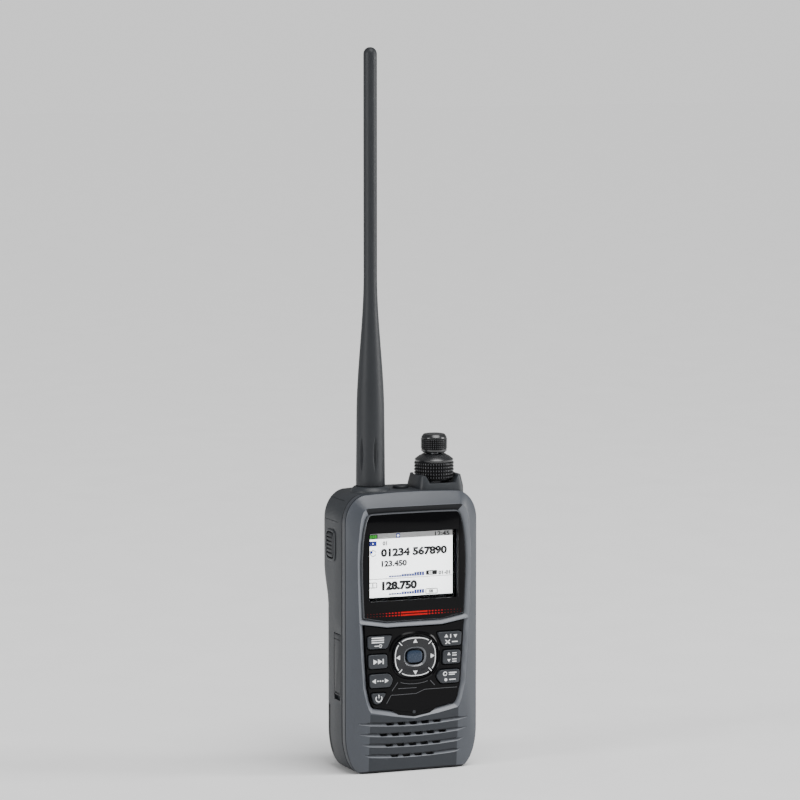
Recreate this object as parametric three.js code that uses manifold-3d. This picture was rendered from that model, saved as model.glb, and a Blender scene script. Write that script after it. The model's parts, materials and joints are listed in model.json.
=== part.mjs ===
// Handheld airband communications receiver, modelled as the pieces it comes apart into.
// Millimetres, +Z up, the front looks towards -Y and +X is the right of the front.
// The origin is the middle of the flat underside that it stands on.
import * as THREE from "three";
import { ConvexGeometry } from "three/addons/geometries/ConvexGeometry.js";
import { mergeVertices } from "three/addons/utils/BufferGeometryUtils.js";
import Module from "manifold-3d";

const wasm = await Module();
wasm.setup();

// ---------------------------------------------------------------- driving dimensions

const FIT = 0.3; // gap between pieces that rest on or in each other
const SEGMENTS = 28; // round a turned piece

const CASE = {
  width: 58,
  height: 116,
  wall: 2,
  front: -15.5, // the proud edge round the window and the keys
  bevel: -12, // where the sloping front meets the side
  parting: -8, // the joint between front and rear case
  back: 15,
  topCorner: { x: 9.3, z: 12 },
  bottomCorner: { x: 7.5, z: 17 },
  topCrown: 0.6, // the top edge falls this much from its middle to its corners
  upperRound: 3.5, // back edges round the shoulders
  lowerRound: 9, // back edges beside the battery
  gripLow: 68,
  gripHigh: 84, // the back edges change from one round to the other between these heights
  channelDepth: 0.8, // shallow channel round the rear case, next to the joint
  channelWidth: 3,
};
const CHIN = { halfWidth: 19.5, top: 25, bottom: 1.2, lowFront: -13.3 };

const PANEL = { front: -15, thickness: 1.5 };
const PANEL_BACK = PANEL.front + PANEL.thickness;
const LEDGE = { front: PANEL_BACK + FIT, back: CASE.bevel }; // what the window and the key bezel sit on
const WINDOW_BAR = { side: 64.6, middle: 62.7, drop: 1.9, kink: 12.3 }; // the grey bar under the window
const DISPLAY = { width: 40, height: 33, thickness: 2.8, middleZ: 87, viewWidth: 37, viewHeight: 27.5 };

const KEY = { proud: 0.9, travel: 0.4, flange: 0.6, flangeThickness: 0.6, corner: 1 };
const KEY_BACK = PANEL_BACK + FIT + KEY.flangeThickness;
const DPAD = { z: 48.1, halfWidth: 9.45, halfHeight: 8.4, squareness: 2.5, proud: 1.3, gap: 0.55 };
const CENTRE_KEY = { halfWidth: 3.4, halfHeight: 2.55, wellWidth: 4.3, wellHeight: 3.4 };

const GRILLE = {
  rows: [
    { z: 19.5, holes: 5, tip: 4.6 },
    { z: 15, holes: 6, tip: 4.2 },
    { z: 10.6, holes: 5, tip: 3.3 },
    { z: 6.1, holes: 4, tip: 2 },
  ],
  halfLength: 19.4,
  height: 1.9,
  sag: 0.8,
  depth: 1,
  pitch: 5.2,
  holeWidth: 4,
  holeHeight: 1.2,
};

const ANTENNA = {
  x: -13.3,
  top: CASE.height + 181,
  baseRadius: 6,
  tipRadius: 2.77,
  swellTop: CASE.height + 88,
  swellLow: CASE.height + 30,
  coreRadius: 1.2,
};
const BOSS = { radius: 7.6, topRadius: 6.9, height: 1.5 }; // raised ring round the antenna jack
const KNOBS = {
  x: 14.9,
  tuneRadius: 8.2,
  tuneBottom: CASE.height + 2.8,
  tuneTop: CASE.height + 13.6,
  volumeRadius: 5.45,
  volumeBottom: CASE.height + 14.1,
  volumeTop: CASE.height + 21.8,
  knurl: 0.35,
};
const GUARD = {
  halfWidth: KNOBS.tuneRadius + 1.6,
  halfDepth: 7.1,
  front: KNOBS.tuneRadius + 1.5, // its front wall stands over the front case
  top: CASE.height + 5.4,
  notchFloor: CASE.height + 2.3,
  notchHalf: 6.6,
  flare: 1,
};
const ENCODER = {
  bushing: 4.4,
  bore: 3.4,
  outerShaft: 3.1,
  outerBore: 2.2,
  innerShaft: 1.9,
  top: KNOBS.tuneBottom + 0.6,
};

const SIDE_KEY = { y: 4.2, z: 93.3, halfWidth: 3.8, halfHeight: 5.3, proud: 0.9, rim: 1.3, travel: 0.6 };
const FLAP = { front: -6, back: 1, top: 57.2, bottom: 31.8, thickness: 1.6, notch: 2.4 };
const CARD = { y: [-4.5, -1.1], z: [46, 56] }; // the sockets behind the flap
const USB = { y: [-4.5, -1.3], z: [33.5, 43] };
const SOCKET_MOUTH = -CASE.width / 2 + FLAP.thickness + 2;
const CAP = { radius: 3.3, thickness: 1.1, plug: 1.5, y: 0, tab: 0.7, hingeY: 4.6 }; // it turns about mid-tab
const CAP_X = KNOBS.x - GUARD.halfWidth - 1.8 - CAP.radius; // beside the knob guard

const PACK = {
  halfWidth: 26,
  bottom: 5,
  top: 84,
  front: 5,
  footTop: 26.5,
  footBottom: 6.5,
  footFront: 9.2,
  wall: 1.4,
};
const CLIP_Z = CASE.height - 16; // height of the belt clip's two screw holes
const BAY_FLOOR = { front: 3, back: 4.6 };
const SEAL = { front: CASE.parting - 0.7, back: CASE.parting + 1, width: 0.8 };
const SCREW = { x: 22.7, zs: [13, 80], head: 2.1, headHeight: 1.1, shank: 1.1, post: 2.3, end: -11.2 };
const LATCH = { halfWidth: 7.5, bottom: 7.5, height: 7, thickness: 1.6, travel: 2.5 };

// ---------------------------------------------------------------- solids and cuts

// A closed geometry as a solid, with its faces turned outwards.
function solid(geometry) {
  const bare = new THREE.BufferGeometry();
  const flat = geometry.index ? geometry.toNonIndexed() : geometry;
  bare.setAttribute("position", flat.getAttribute("position"));
  const merged = mergeVertices(bare, 1e-4);
  const index = merged.index.array;
  const corners = [];
  for (let i = 0; i < index.length; i += 3) {
    const [a, b, c] = index.slice(i, i + 3);
    if (a !== b && b !== c && c !== a) corners.push(a, b, c);
  }
  const build = (triVerts) =>
    new wasm.Manifold(
      new wasm.Mesh({
        numProp: 3,
        vertProperties: merged.attributes.position.array,
        triVerts: new Uint32Array(triVerts),
      }),
    );
  const made = build(corners);
  return made.volume() >= 0 ? made : build(corners.reverse());
}

const cut = (base, ...tools) => tools.reduce((left, tool) => left.subtract(tool), base);
const join = (...parts) => parts.reduce((whole, part) => whole.add(part));

function geometryOf(made) {
  const mesh = made.getMesh();
  const geometry = new THREE.BufferGeometry();
  geometry.setAttribute("position", new THREE.BufferAttribute(mesh.vertProperties, 3));
  geometry.setIndex(new THREE.BufferAttribute(mesh.triVerts, 1));
  const faceted = geometry.toNonIndexed();
  faceted.computeVertexNormals();
  return faceted;
}

// ---------------------------------------------------------------- basic shapes

function box([x0, x1], [y0, y1], [z0, z1]) {
  const geometry = new THREE.BoxGeometry(x1 - x0, y1 - y0, z1 - z0);
  geometry.translate((x0 + x1) / 2, (y0 + y1) / 2, (z0 + z1) / 2);
  return solid(geometry);
}

const AXES = { x: new THREE.Vector3(1, 0, 0), y: new THREE.Vector3(0, 1, 0), z: new THREE.Vector3(0, 0, 1) };
const BASES = {
  // drawn across X and Z, thick along -Y
  y: new THREE.Matrix4().makeBasis(AXES.x, AXES.z, AXES.y.clone().negate()),
  // drawn across Y and Z, thick along +X
  x: new THREE.Matrix4().makeBasis(AXES.y, AXES.z, AXES.x),
  z: new THREE.Matrix4(),
};

// A flat outline made thick along one axis, from low to high.
function plate(axis, outline, low, high) {
  const shape = new THREE.Shape(outline);
  const geometry = new THREE.ExtrudeGeometry(shape, { depth: high - low, bevelEnabled: false });
  geometry.applyMatrix4(BASES[axis]);
  const start = axis === "y" ? high : low;
  geometry.translate(axis === "x" ? start : 0, axis === "y" ? start : 0, axis === "z" ? start : 0);
  return solid(geometry);
}

// A turned piece about the Z axis. The profile lists [radius, height] and starts and ends on the axis.
function turned(profile, segments = SEGMENTS) {
  const points = profile.map(([radius, height]) => new THREE.Vector2(radius, height));
  const geometry = new THREE.LatheGeometry(points, segments);
  geometry.rotateX(Math.PI / 2);
  return solid(geometry);
}

const disc = (radius, low, high, segments) =>
  turned([[0, low], [radius, low], [radius, high], [0, high]], segments);

// A solid through loops of equal length. Each loop is {at, points}, across the axis at that place.
function loft(axis, loops) {
  const count = loops[0].points.length;
  const place = (point, at) => {
    if (axis === "y") return [point.x, at, point.y];
    if (axis === "x") return [at, point.x, point.y];
    return [point.x, point.y, at];
  };
  const corners = loops.flatMap(({ at, points }) => points.map((point) => place(point, at)));
  const middles = [loops[0], loops.at(-1)].map(({ at, points }) => {
    const sum = points.reduce((total, point) => total.add(point), new THREE.Vector2());
    return place(sum.divideScalar(count), at);
  });
  const faces = [];
  const last = (loops.length - 1) * count;
  for (let i = 0; i < count; i++) {
    const j = (i + 1) % count;
    for (let k = 0; k < last; k += count) {
      faces.push([k + i, k + j, k + count + j], [k + i, k + count + j, k + count + i]);
    }
    faces.push([corners.length, j, i], [corners.length + 1, last + i, last + j]);
  }
  const all = [...corners, ...middles];
  const geometry = new THREE.BufferGeometry();
  const positions = faces.flat().flatMap((corner) => all[corner]);
  geometry.setAttribute("position", new THREE.Float32BufferAttribute(positions, 3));
  return solid(geometry);
}

// ---------------------------------------------------------------- outlines

const dot = (x, z) => new THREE.Vector2(x, z);

// The right half of an outline, from top to bottom, and its mirror image.
const mirrored = (half) => [
  ...half.map(([x, z]) => dot(x, z)),
  ...half.filter(([x]) => x > 0).reverse().map(([x, z]) => dot(-x, z)),
];

// A quarter of an ellipse from one angle to another, in degrees.
function arc(x, z, radiusX, radiusZ, from, to, steps = 6) {
  return Array.from({ length: steps + 1 }, (_, i) => {
    const angle = THREE.MathUtils.degToRad(from + ((to - from) * i) / steps);
    return [x + radiusX * Math.cos(angle), z + radiusZ * Math.sin(angle)];
  });
}

// The case seen from the front, drawn in by an amount that is given for each [x, z, sideways].
function caseOutline(inset = () => 0) {
  const half = CASE.width / 2;
  const top = CASE.height - CASE.topCrown;
  const { topCorner, bottomCorner } = CASE;
  const upper = arc(half - topCorner.x, top - topCorner.z, topCorner.x, topCorner.z, 88, 0, 7);
  const lower = arc(half - bottomCorner.x, bottomCorner.z, bottomCorner.x, bottomCorner.z, 0, -90, 7);
  const sides = [CASE.gripHigh, (CASE.gripHigh + CASE.gripLow) / 2, CASE.gripLow, 40].map((z) => [half, z]);
  const right = [[0, CASE.height], ...upper, ...sides, ...lower];
  const middle = CASE.height / 2;
  const drawn = right.map(([x, z]) => {
    const sideways = THREE.MathUtils.clamp((x - half + topCorner.x) / topCorner.x, 0, 1) ** 0.5;
    const amount = inset(x, z, sideways);
    const across = x === 0 ? 0 : amount * sideways;
    const upright = amount * Math.sqrt(1 - sideways ** 2) * Math.sign(z - middle);
    return [x - across, z - upright];
  });
  return mirrored(drawn);
}

const insetOutline = (amount) => caseOutline(() => amount);

// The same outline drawn in by a fixed distance, with its corners mitred.
function shrink(outline, distance) {
  const clockwise = THREE.ShapeUtils.isClockWise(outline);
  const count = outline.length;
  return outline.map((point, i) => {
    const before = point.clone().sub(outline[(i + count - 1) % count]).normalize();
    const after = outline[(i + 1) % count].clone().sub(point).normalize();
    const normals = [before, after].map((side) => (clockwise ? dot(side.y, -side.x) : dot(-side.y, side.x)));
    const mitre = normals[0].clone().add(normals[1]).normalize();
    return point.clone().addScaledVector(mitre, distance / mitre.dot(normals[0]));
  });
}

// A polygon with each corner replaced by a curve.
function rounded(corners, radius, steps = 3) {
  const count = corners.length;
  return corners.flatMap((corner, i) => {
    const before = corners[(i + count - 1) % count].clone().sub(corner);
    const after = corners[(i + 1) % count].clone().sub(corner);
    const start = corner.clone().addScaledVector(before.normalize(), radius);
    const end = corner.clone().addScaledVector(after.normalize(), radius);
    return new THREE.QuadraticBezierCurve(start, corner, end).getPoints(steps);
  });
}

function rectangle(x, z, halfWidth, halfHeight, radius = 0) {
  const corners = [
    dot(x - halfWidth, z - halfHeight),
    dot(x + halfWidth, z - halfHeight),
    dot(x + halfWidth, z + halfHeight),
    dot(x - halfWidth, z + halfHeight),
  ];
  return radius ? rounded(corners, radius) : corners;
}

// A rounded shape between an ellipse and a rectangle.
function superellipse(x, z, halfWidth, halfHeight, power, steps = 32) {
  return Array.from({ length: steps }, (_, i) => {
    const angle = (2 * Math.PI * (i + 0.5)) / steps;
    const curve = (value) => Math.sign(value) * Math.abs(value) ** (2 / power);
    return dot(x + halfWidth * curve(Math.cos(angle)), z + halfHeight * curve(Math.sin(angle)));
  });
}

// ---------------------------------------------------------------- materials

const plastic = (color, roughness) => new THREE.MeshStandardMaterial({ color, roughness, metalness: 0 });
const metal = (color, roughness) => new THREE.MeshStandardMaterial({ color, roughness, metalness: 1 });
const FINISH = {
  frontCase: plastic(0x4a4f57, 0.5),
  rearCase: plastic(0x33363b, 0.6),
  gloss: plastic(0x08090a, 0.08),
  key: plastic(0x2c2f33, 0.45),
  knob: plastic(0x1b1c1e, 0.4),
  rubber: plastic(0x2b2d30, 0.75),
  silicone: plastic(0x55585c, 0.8),
  screen: plastic(0xdfe3e6, 0.3),
  board: plastic(0x1f5a35, 0.6),
  black: plastic(0x17181a, 0.6),
  steel: metal(0xb8bcc0, 0.35),
  brass: metal(0xc9a24b, 0.35),
  casting: metal(0x9a9da0, 0.55),
  cell: plastic(0x2f5f9a, 0.5),
};

const receiver = new THREE.Group();

function addTo(group, name, made, material) {
  const mesh = new THREE.Mesh(geometryOf(made), material);
  mesh.name = name;
  group.add(mesh);
}

// ---------------------------------------------------------------- the front panel's outlines

// The edge of the opening in the front case.
const OPENING = [
  [20.3, 110.3],
  [22.5, 108.8],
  [23.6, 105.5],
  [24.6, 97],
  [25, 88],
  [24.4, 66],
  [23.6, 50],
  [22.6, 36],
  [21, 29.5],
  [19.3, 25.9],
  [10.4, 24],
];
const openingOutline = mirrored([...OPENING, [0, 22.4]]);
const edgeAt = (z) => {
  const above = OPENING.findIndex(([, height]) => height < z) - 1;
  const [x0, z0] = OPENING[above];
  const [x1, z1] = OPENING[above + 1];
  return THREE.MathUtils.mapLinear(z, z0, z1, x0, x1);
};

const barTop = WINDOW_BAR;
const barBottom = { side: WINDOW_BAR.side - WINDOW_BAR.drop, middle: WINDOW_BAR.middle - WINDOW_BAR.drop };
const windowOutline = mirrored([
  ...OPENING.slice(0, 5),
  [edgeAt(barTop.side + FIT), barTop.side + FIT],
  [barTop.kink, barTop.middle + FIT],
]);
const keypadOutline = mirrored([
  [WINDOW_BAR.kink, barBottom.middle - FIT],
  [edgeAt(barBottom.side - FIT), barBottom.side - FIT],
  ...OPENING.slice(6),
  [0, 22.4],
]);

// Each key: its outline seen from the front.
const KEYS = {
  key_menu: [[-20.8, 57.5], [-9.9, 57.5], [-12.1, 52.2], [-20.6, 52.2]],
  key_skip: [[-20.4, 49.8], [-12.2, 49.8], [-12, 44.1], [-20.2, 44.1]],
  key_scan: [[-20, 41.7], [-11.2, 41.7], [-9.5, 39.2], [-10.8, 36.1], [-19.7, 36.1]],
  key_power: [[-19.3, 33.8], [-12.5, 33.8], [-15.2, 29.3], [-17.8, 29.3]],
  key_band: [[9.9, 57.5], [20.8, 57.5], [20.6, 51.6], [12.5, 51.6]],
  key_memory: [[12.6, 49.8], [20.4, 49.8], [20.2, 44.1], [12.3, 44.1]],
  key_record: [[11.2, 41.7], [20, 41.7], [19.7, 36.1], [11.6, 36.1], [9.5, 39.1]],
};
const keyCorners = (name) => KEYS[name].map(([x, z]) => dot(x, z));
const keyOutline = (name) => rounded(keyCorners(name), KEY.corner, 2);
const dpadOutline = (grow = 0) =>
  superellipse(0, DPAD.z, DPAD.halfWidth + grow, DPAD.halfHeight + grow, DPAD.squareness);
const grown = (outline, distance) => shrink(outline, -distance);

// ---------------------------------------------------------------- casings

// How far the rear case's edge is drawn in at a place along its depth.
function backInset(y, x, z, sideways) {
  const upper = THREE.MathUtils.smoothstep(z, CASE.gripLow, CASE.gripHigh);
  const radius = THREE.MathUtils.lerp(CASE.upperRound, CASE.lowerRound, (1 - upper) * sideways);
  const past = Math.max(0, y - (CASE.back - radius));
  return radius - Math.sqrt(Math.max(0, radius ** 2 - past ** 2));
}

const backFacing = () => {
  const start = CASE.back - CASE.lowerRound;
  return Array.from({ length: 8 }, (_, i) => {
    const y = start + CASE.lowerRound * Math.sin((i / 7) * (Math.PI / 2));
    return { at: y, points: caseOutline((x, z, sideways) => backInset(y, x, z, sideways)) };
  });
};

function rearShell() {
  const front = CASE.parting + FIT;
  const channelEnd = front + CASE.channelWidth;
  return loft("y", [
    { at: front, points: insetOutline(CASE.channelDepth) },
    { at: channelEnd - CASE.channelDepth, points: insetOutline(CASE.channelDepth) },
    { at: channelEnd, points: insetOutline(0) },
    ...backFacing(),
  ]);
}

// A post round a screw, from one depth to another.
const post = (x, z, radius, low, high) =>
  solid(new THREE.CylinderGeometry(radius, radius, high - low, 16).translate(x, (low + high) / 2, z));

const screwPlaces = SCREW.zs.flatMap((z) => [-SCREW.x, SCREW.x].map((x) => [x, z]));

function packSpace(gap) {
  const past = CASE.back + 1;
  return join(
    box([-PACK.halfWidth - gap, PACK.halfWidth + gap], [PACK.front - gap, past], [PACK.bottom - gap, PACK.top + gap]),
    box([-CASE.width, CASE.width], [PACK.footFront - gap, past], [PACK.footBottom - gap, PACK.footTop + gap]),
  );
}

// The raised block round the knobs, notched at the front and the back for a thumb.
function knobGuard() {
  const loop = (front, grow) => {
    const half = (GUARD.halfDepth + front) / 2;
    return rectangle(KNOBS.x, GUARD.halfDepth - half, GUARD.halfWidth + grow, half + grow, 3);
  };
  const upright = (bottom, front) =>
    loft("z", [
      { at: bottom, points: loop(front, 0.5) },
      { at: GUARD.top - 0.8, points: loop(front, -0.1) },
      { at: GUARD.top, points: loop(front, -0.7) },
    ]);
  const block = join(
    upright(CASE.height - CASE.wall, GUARD.halfDepth),
    upright(CASE.height + FIT, GUARD.front),
  );
  const notch = [
    dot(KNOBS.x - GUARD.notchHalf, GUARD.notchFloor),
    dot(KNOBS.x + GUARD.notchHalf, GUARD.notchFloor),
    dot(KNOBS.x + GUARD.notchHalf + GUARD.flare, GUARD.top + 1),
    dot(KNOBS.x - GUARD.notchHalf - GUARD.flare, GUARD.top + 1),
  ];
  const well = disc(KNOBS.tuneRadius + 0.5, CASE.height, GUARD.top + 1).translate([KNOBS.x, 0, 0]);
  return cut(block, well, plate("y", notch, -CASE.width, CASE.width));
}

function antennaBoss() {
  return turned([
    [0, CASE.height - CASE.wall],
    [BOSS.radius, CASE.height - CASE.wall],
    [BOSS.radius, CASE.height],
    [BOSS.topRadius, CASE.height + BOSS.height],
    [0, CASE.height + BOSS.height],
  ]).translate([ANTENNA.x, 0, 0]);
}

function rearCase() {
  const inside = CASE.wall;
  const top = CASE.height;
  const cavity = loft("y", [
    { at: CASE.parting, points: insetOutline(inside) },
    { at: BAY_FLOOR.front, points: insetOutline(inside) },
  ]);
  const shoulderCavity = plate("y", insetOutline(inside), BAY_FLOOR.front - 1, CASE.back - CASE.wall).intersect(
    box([-CASE.width, CASE.width], [-CASE.width, CASE.width], [PACK.top + 3, top]),
  );
  const sideKeyHole = plate("x", rectangle(SIDE_KEY.y, SIDE_KEY.z, SIDE_KEY.halfWidth + FIT, SIDE_KEY.halfHeight + FIT, 2.5), -CASE.width, -20);
  const flapPocket = box(
    [-CASE.width, -CASE.width / 2 + FLAP.thickness + FIT],
    [FLAP.front - FIT, FLAP.back + FIT],
    [FLAP.bottom - FLAP.notch, FLAP.top + FIT],
  );
  const flapBacking = box(
    [-CASE.width / 2 + 1, SOCKET_MOUTH - FIT],
    [SEAL.back + FIT, BAY_FLOOR.front + 0.5],
    [FLAP.bottom - FLAP.notch - 1.5, FLAP.top + 1.8],
  );
  const sockets = [CARD, USB].map(({ y, z }) =>
    box([-CASE.width, -20], [y[0] + 0.6, y[1] - 0.6], [z[0] + 0.6, z[1] - 0.6]),
  );
  const topHoles = [
    disc(ENCODER.bushing + FIT, top - 16, top + 10).translate([KNOBS.x, 0, 0]),
    disc(JACK.barrel + 0.6, top - 16, top + 10, 24).translate([ANTENNA.x, 0, 0]),
    disc(CAP.plug + 0.7, top - 16, top + 10, 20).translate([CAP_X, CAP.y, 0]),
  ];
  const shell = cut(
    join(cut(join(rearShell(), knobGuard(), antennaBoss()), cavity), flapBacking),
    shoulderCavity,
    packSpace(FIT),
    sideKeyHole,
    flapPocket,
    ...sockets,
    ...topHoles,
    box([-9, 9], [BAY_FLOOR.front - 1, PACK.front], [14, 20]),
  );
  const posts = screwPlaces.map(([x, z]) => post(x, z, SCREW.post, CASE.parting + FIT, BAY_FLOOR.front + 0.5));
  const bores = screwPlaces.flatMap(([x, z]) => [
    post(x, z, SCREW.shank + FIT, CASE.parting, PACK.front),
    post(x, z, SCREW.head + FIT, BAY_FLOOR.back - SCREW.headHeight - FIT, PACK.front),
  ]);
  const clipInserts = [-8, 8].map((x) => post(x, CLIP_Z, 1.3, CASE.back - CASE.wall - 1, CASE.back + 1));
  return cut(join(shell, ...posts), ...bores, ...clipInserts);
}

// The front case: straight side, a sloping front and a chin that leans back.
function frontBlock() {
  const place = (y) => (point) => new THREE.Vector3(point.x, y, point.y);
  const chin = [-1, 1].flatMap((side) => [
    new THREE.Vector3(side * CHIN.halfWidth, CASE.front, CHIN.top),
    new THREE.Vector3(side * CHIN.halfWidth, CHIN.lowFront, CHIN.bottom),
  ]);
  const hull = new ConvexGeometry([
    ...insetOutline(0).map(place(CASE.parting)),
    ...insetOutline(0.15).map(place(CASE.bevel)),
    ...openingOutline.map(place(CASE.front)),
    ...chin,
  ]);
  return solid(hull);
}

function grilleCuts() {
  const front = CASE.front - 1;
  return GRILLE.rows.flatMap(({ z, holes, tip }) => {
    const { halfLength, height, sag, depth } = GRILLE;
    const lean = THREE.MathUtils.mapLinear(z, CHIN.bottom, CHIN.top, CHIN.lowFront, CASE.front);
    const groove = mirrored([
      [0, z + height],
      [halfLength, z + sag + height * 0.8],
      [halfLength + tip, z + sag + height * 0.75],
      [halfLength, z + sag],
      [0, z],
    ]);
    const opened = Array.from({ length: holes }, (_, i) => {
      const x = (i - (holes - 1) / 2) * GRILLE.pitch;
      const low = z + 0.25 + (Math.abs(x) / halfLength) * sag;
      return box([x - GRILLE.holeWidth / 2, x + GRILLE.holeWidth / 2], [front, -11], [low, low + GRILLE.holeHeight]);
    });
    return [plate("y", groove, front, lean + depth), ...opened];
  });
}

function frontCase() {
  const inside = CASE.wall;
  const cavity = plate("y", insetOutline(inside), LEDGE.back, CASE.parting + 1);
  const past = CASE.front - 1;
  const seat = (outline) => plate("y", grown(outline, 0), past, LEDGE.front);
  const displayHole = box([-19.3, 19.3], [past, CASE.parting], [72.2, 101.8]);
  const keyHole = plate("y", mirrored([[21.4, 59.3], [21.6, 48], [20.6, 34], [18.4, 28]]), past, CASE.parting);
  const shell = cut(frontBlock(), cavity, seat(windowOutline), seat(keypadOutline), displayHole, keyHole, ...grilleCuts());
  const posts = screwPlaces.map(([x, z]) => post(x, z, SCREW.post, LEDGE.back - 0.2, CASE.parting));
  const bores = screwPlaces.map(([x, z]) => post(x, z, SCREW.shank + 0.15, SCREW.end - 0.3, CASE.parting + 1));
  return cut(join(shell, ...posts), ...bores);
}

// ---------------------------------------------------------------- front panel

function displayWindow() {
  const edge = shrink(windowOutline, FIT);
  return loft("y", [
    { at: PANEL_BACK, points: edge },
    { at: PANEL.front + 0.5, points: edge },
    { at: PANEL.front, points: shrink(windowOutline, FIT + 0.8) },
  ]);
}

function displayModule() {
  const front = LEDGE.back + FIT;
  return box(
    [-DISPLAY.width / 2, DISPLAY.width / 2],
    [front, front + DISPLAY.thickness],
    [DISPLAY.middleZ - DISPLAY.height / 2, DISPLAY.middleZ + DISPLAY.height / 2],
  );
}

function keypadBezel() {
  const edge = shrink(keypadOutline, FIT);
  const openings = Object.keys(KEYS).map((name) =>
    plate("y", grown(keyOutline(name), FIT), PANEL.front - 1, PANEL_BACK + 1),
  );
  const dpadOpening = plate("y", dpadOutline(FIT + 0.2), PANEL.front - 1, PANEL_BACK + 1);
  return cut(plate("y", edge, PANEL.front, PANEL_BACK), dpadOpening, ...openings);
}

function keyCap(name) {
  const outline = keyOutline(name);
  const flangeFront = KEY_BACK - KEY.flangeThickness;
  const body = loft("y", [
    { at: flangeFront + 0.1, points: outline },
    { at: PANEL.front - KEY.proud + 0.4, points: outline },
    { at: PANEL.front - KEY.proud, points: shrink(outline, 0.4) },
  ]);
  const flange = plate("y", grown(outline, KEY.flange), flangeFront, KEY_BACK);
  return join(body, flange);
}

const DPAD_FLANGE = { front: PANEL_BACK + DPAD.gap, thickness: 0.6 };
const ROCKER = { outer: 7.4, inner: 5.6, front: PANEL_BACK - 0.6, thickness: 1.5 };

function dpadRing() {
  const flangeBack = DPAD_FLANGE.front + DPAD_FLANGE.thickness;
  const face = PANEL.front - DPAD.proud;
  const body = loft("y", [
    { at: flangeBack, points: dpadOutline() },
    { at: face + 0.5, points: dpadOutline() },
    { at: face, points: dpadOutline(-0.9) },
  ]);
  const flange = plate("y", dpadOutline(0.8), DPAD_FLANGE.front, flangeBack);
  const well = plate(
    "y",
    superellipse(0, DPAD.z, CENTRE_KEY.wellWidth, CENTRE_KEY.wellHeight, 3),
    face - 1,
    flangeBack + 1,
  );
  const groove = cut(
    post(0, DPAD.z, ROCKER.outer + 0.4, ROCKER.front - 0.4, flangeBack + 1),
    post(0, DPAD.z, ROCKER.inner - 0.4, ROCKER.front - 1, flangeBack + 2),
  );
  return cut(join(body, flange), well, groove);
}

const dpadRocker = () =>
  cut(
    post(0, DPAD.z, ROCKER.outer, ROCKER.front, ROCKER.front + ROCKER.thickness),
    post(0, DPAD.z, ROCKER.inner, ROCKER.front - 1, ROCKER.front + ROCKER.thickness + 1),
  );

function centreKey() {
  const { halfWidth, halfHeight } = CENTRE_KEY;
  const loop = (grow) => superellipse(0, DPAD.z, halfWidth + grow, halfHeight + grow, 3.5, 24);
  const face = PANEL.front - 1;
  return loft("y", [
    { at: KEY_BACK, points: loop(0.2) },
    { at: face + 0.5, points: loop(0) },
    { at: face, points: loop(-0.6) },
  ]);
}

const MAT = { front: DPAD_FLANGE.front + DPAD_FLANGE.thickness + DPAD.gap, thickness: 0.7, pad: 0.35 };

function keypadMat() {
  const sheet = plate("y", mirrored([[20.8, 58.8], [21, 48], [20, 34], [18, 28.4]]), MAT.front, MAT.front + MAT.thickness);
  const pads = Object.keys(KEYS).map((name) =>
    plate("y", shrink(keyCorners(name), 1.2), MAT.front - MAT.pad, MAT.front + 0.2),
  );
  const middle = plate("y", rectangle(0, DPAD.z, 2, 1.5), MAT.front - MAT.pad, MAT.front + 0.2);
  return join(sheet, ...pads, middle);
}

// ---------------------------------------------------------------- inside

const KEY_BOARD = { front: MAT.front + MAT.thickness + FIT, thickness: 1 };
const MAIN_BOARD = { front: -6, thickness: 1.2, halfWidth: 20.1, bottom: 5, top: 102 };
const SPEAKER = { radius: 11.8, z: 14.6, front: -11.3, back: -6.4 };

const keypadBoard = () =>
  plate("y", mirrored([[19.8, 58.6], [20.6, 48], [19.6, 34], [17.6, 28.6]]), KEY_BOARD.front, KEY_BOARD.front + KEY_BOARD.thickness);

const mainBoard = () =>
  box(
    [-MAIN_BOARD.halfWidth, MAIN_BOARD.halfWidth],
    [MAIN_BOARD.front, MAIN_BOARD.front + MAIN_BOARD.thickness],
    [MAIN_BOARD.bottom, MAIN_BOARD.top],
  );

function shieldCan() {
  const front = MAIN_BOARD.front + MAIN_BOARD.thickness + FIT;
  return plate("y", rectangle(0, 66, 15, 22, 1.5), front, front + 2.6);
}

function chassisFrame() {
  const sheet = box([-20, 20], [-1.4, 0.4], [30, 100]);
  const feet = [[-18, 34], [18, 34], [-18, 96], [18, 96]].flatMap(([x, z]) => [
    post(x, z, 1.6, MAIN_BOARD.front + MAIN_BOARD.thickness + FIT, -1.2),
    post(x, z, 1.6, 0.2, z < 90 ? BAY_FLOOR.front - FIT : CASE.back - CASE.wall - FIT),
  ]);
  const window = box([-9, 9], [-3, 3], [44, 88]);
  const roomForSockets = box([-21, -15.6], [-5, 1], [USB.z[0] - 1, CARD.z[1] + 1]);
  return cut(join(sheet, ...feet), window, roomForSockets);
}

function speaker() {
  const cone = turned([
    [0, 0],
    [SPEAKER.radius * 0.55, 0],
    [SPEAKER.radius * 0.6, 2.6],
    [SPEAKER.radius, 3.2],
    [SPEAKER.radius, 4.9],
    [SPEAKER.radius - 1.4, 4.9],
    [SPEAKER.radius * 0.35, 3.4],
    [0, 4.1],
  ]);
  return cone.rotate([90, 0, 0]).translate([0, SPEAKER.back, SPEAKER.z]);
}

const speakerMesh = () => post(0, SPEAKER.z, SPEAKER.radius, LEDGE.back + 0.1, SPEAKER.front - 0.2);

function caseSeal() {
  const { front, back, width } = SEAL;
  const inside = CASE.wall + 0.2;
  return cut(
    plate("y", insetOutline(inside), front, back),
    plate("y", insetOutline(inside + width), front - 1, back + 1),
  );
}

const displayRibbon = () => {
  const front = LEDGE.back + FIT + DISPLAY.thickness + FIT;
  const bend = MAIN_BOARD.front - FIT;
  return join(
    box([-7, 7], [front, front + 0.4], [66.6, 80]),
    box([-7, 7], [front, bend], [66.2, 67]),
  );
};

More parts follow.
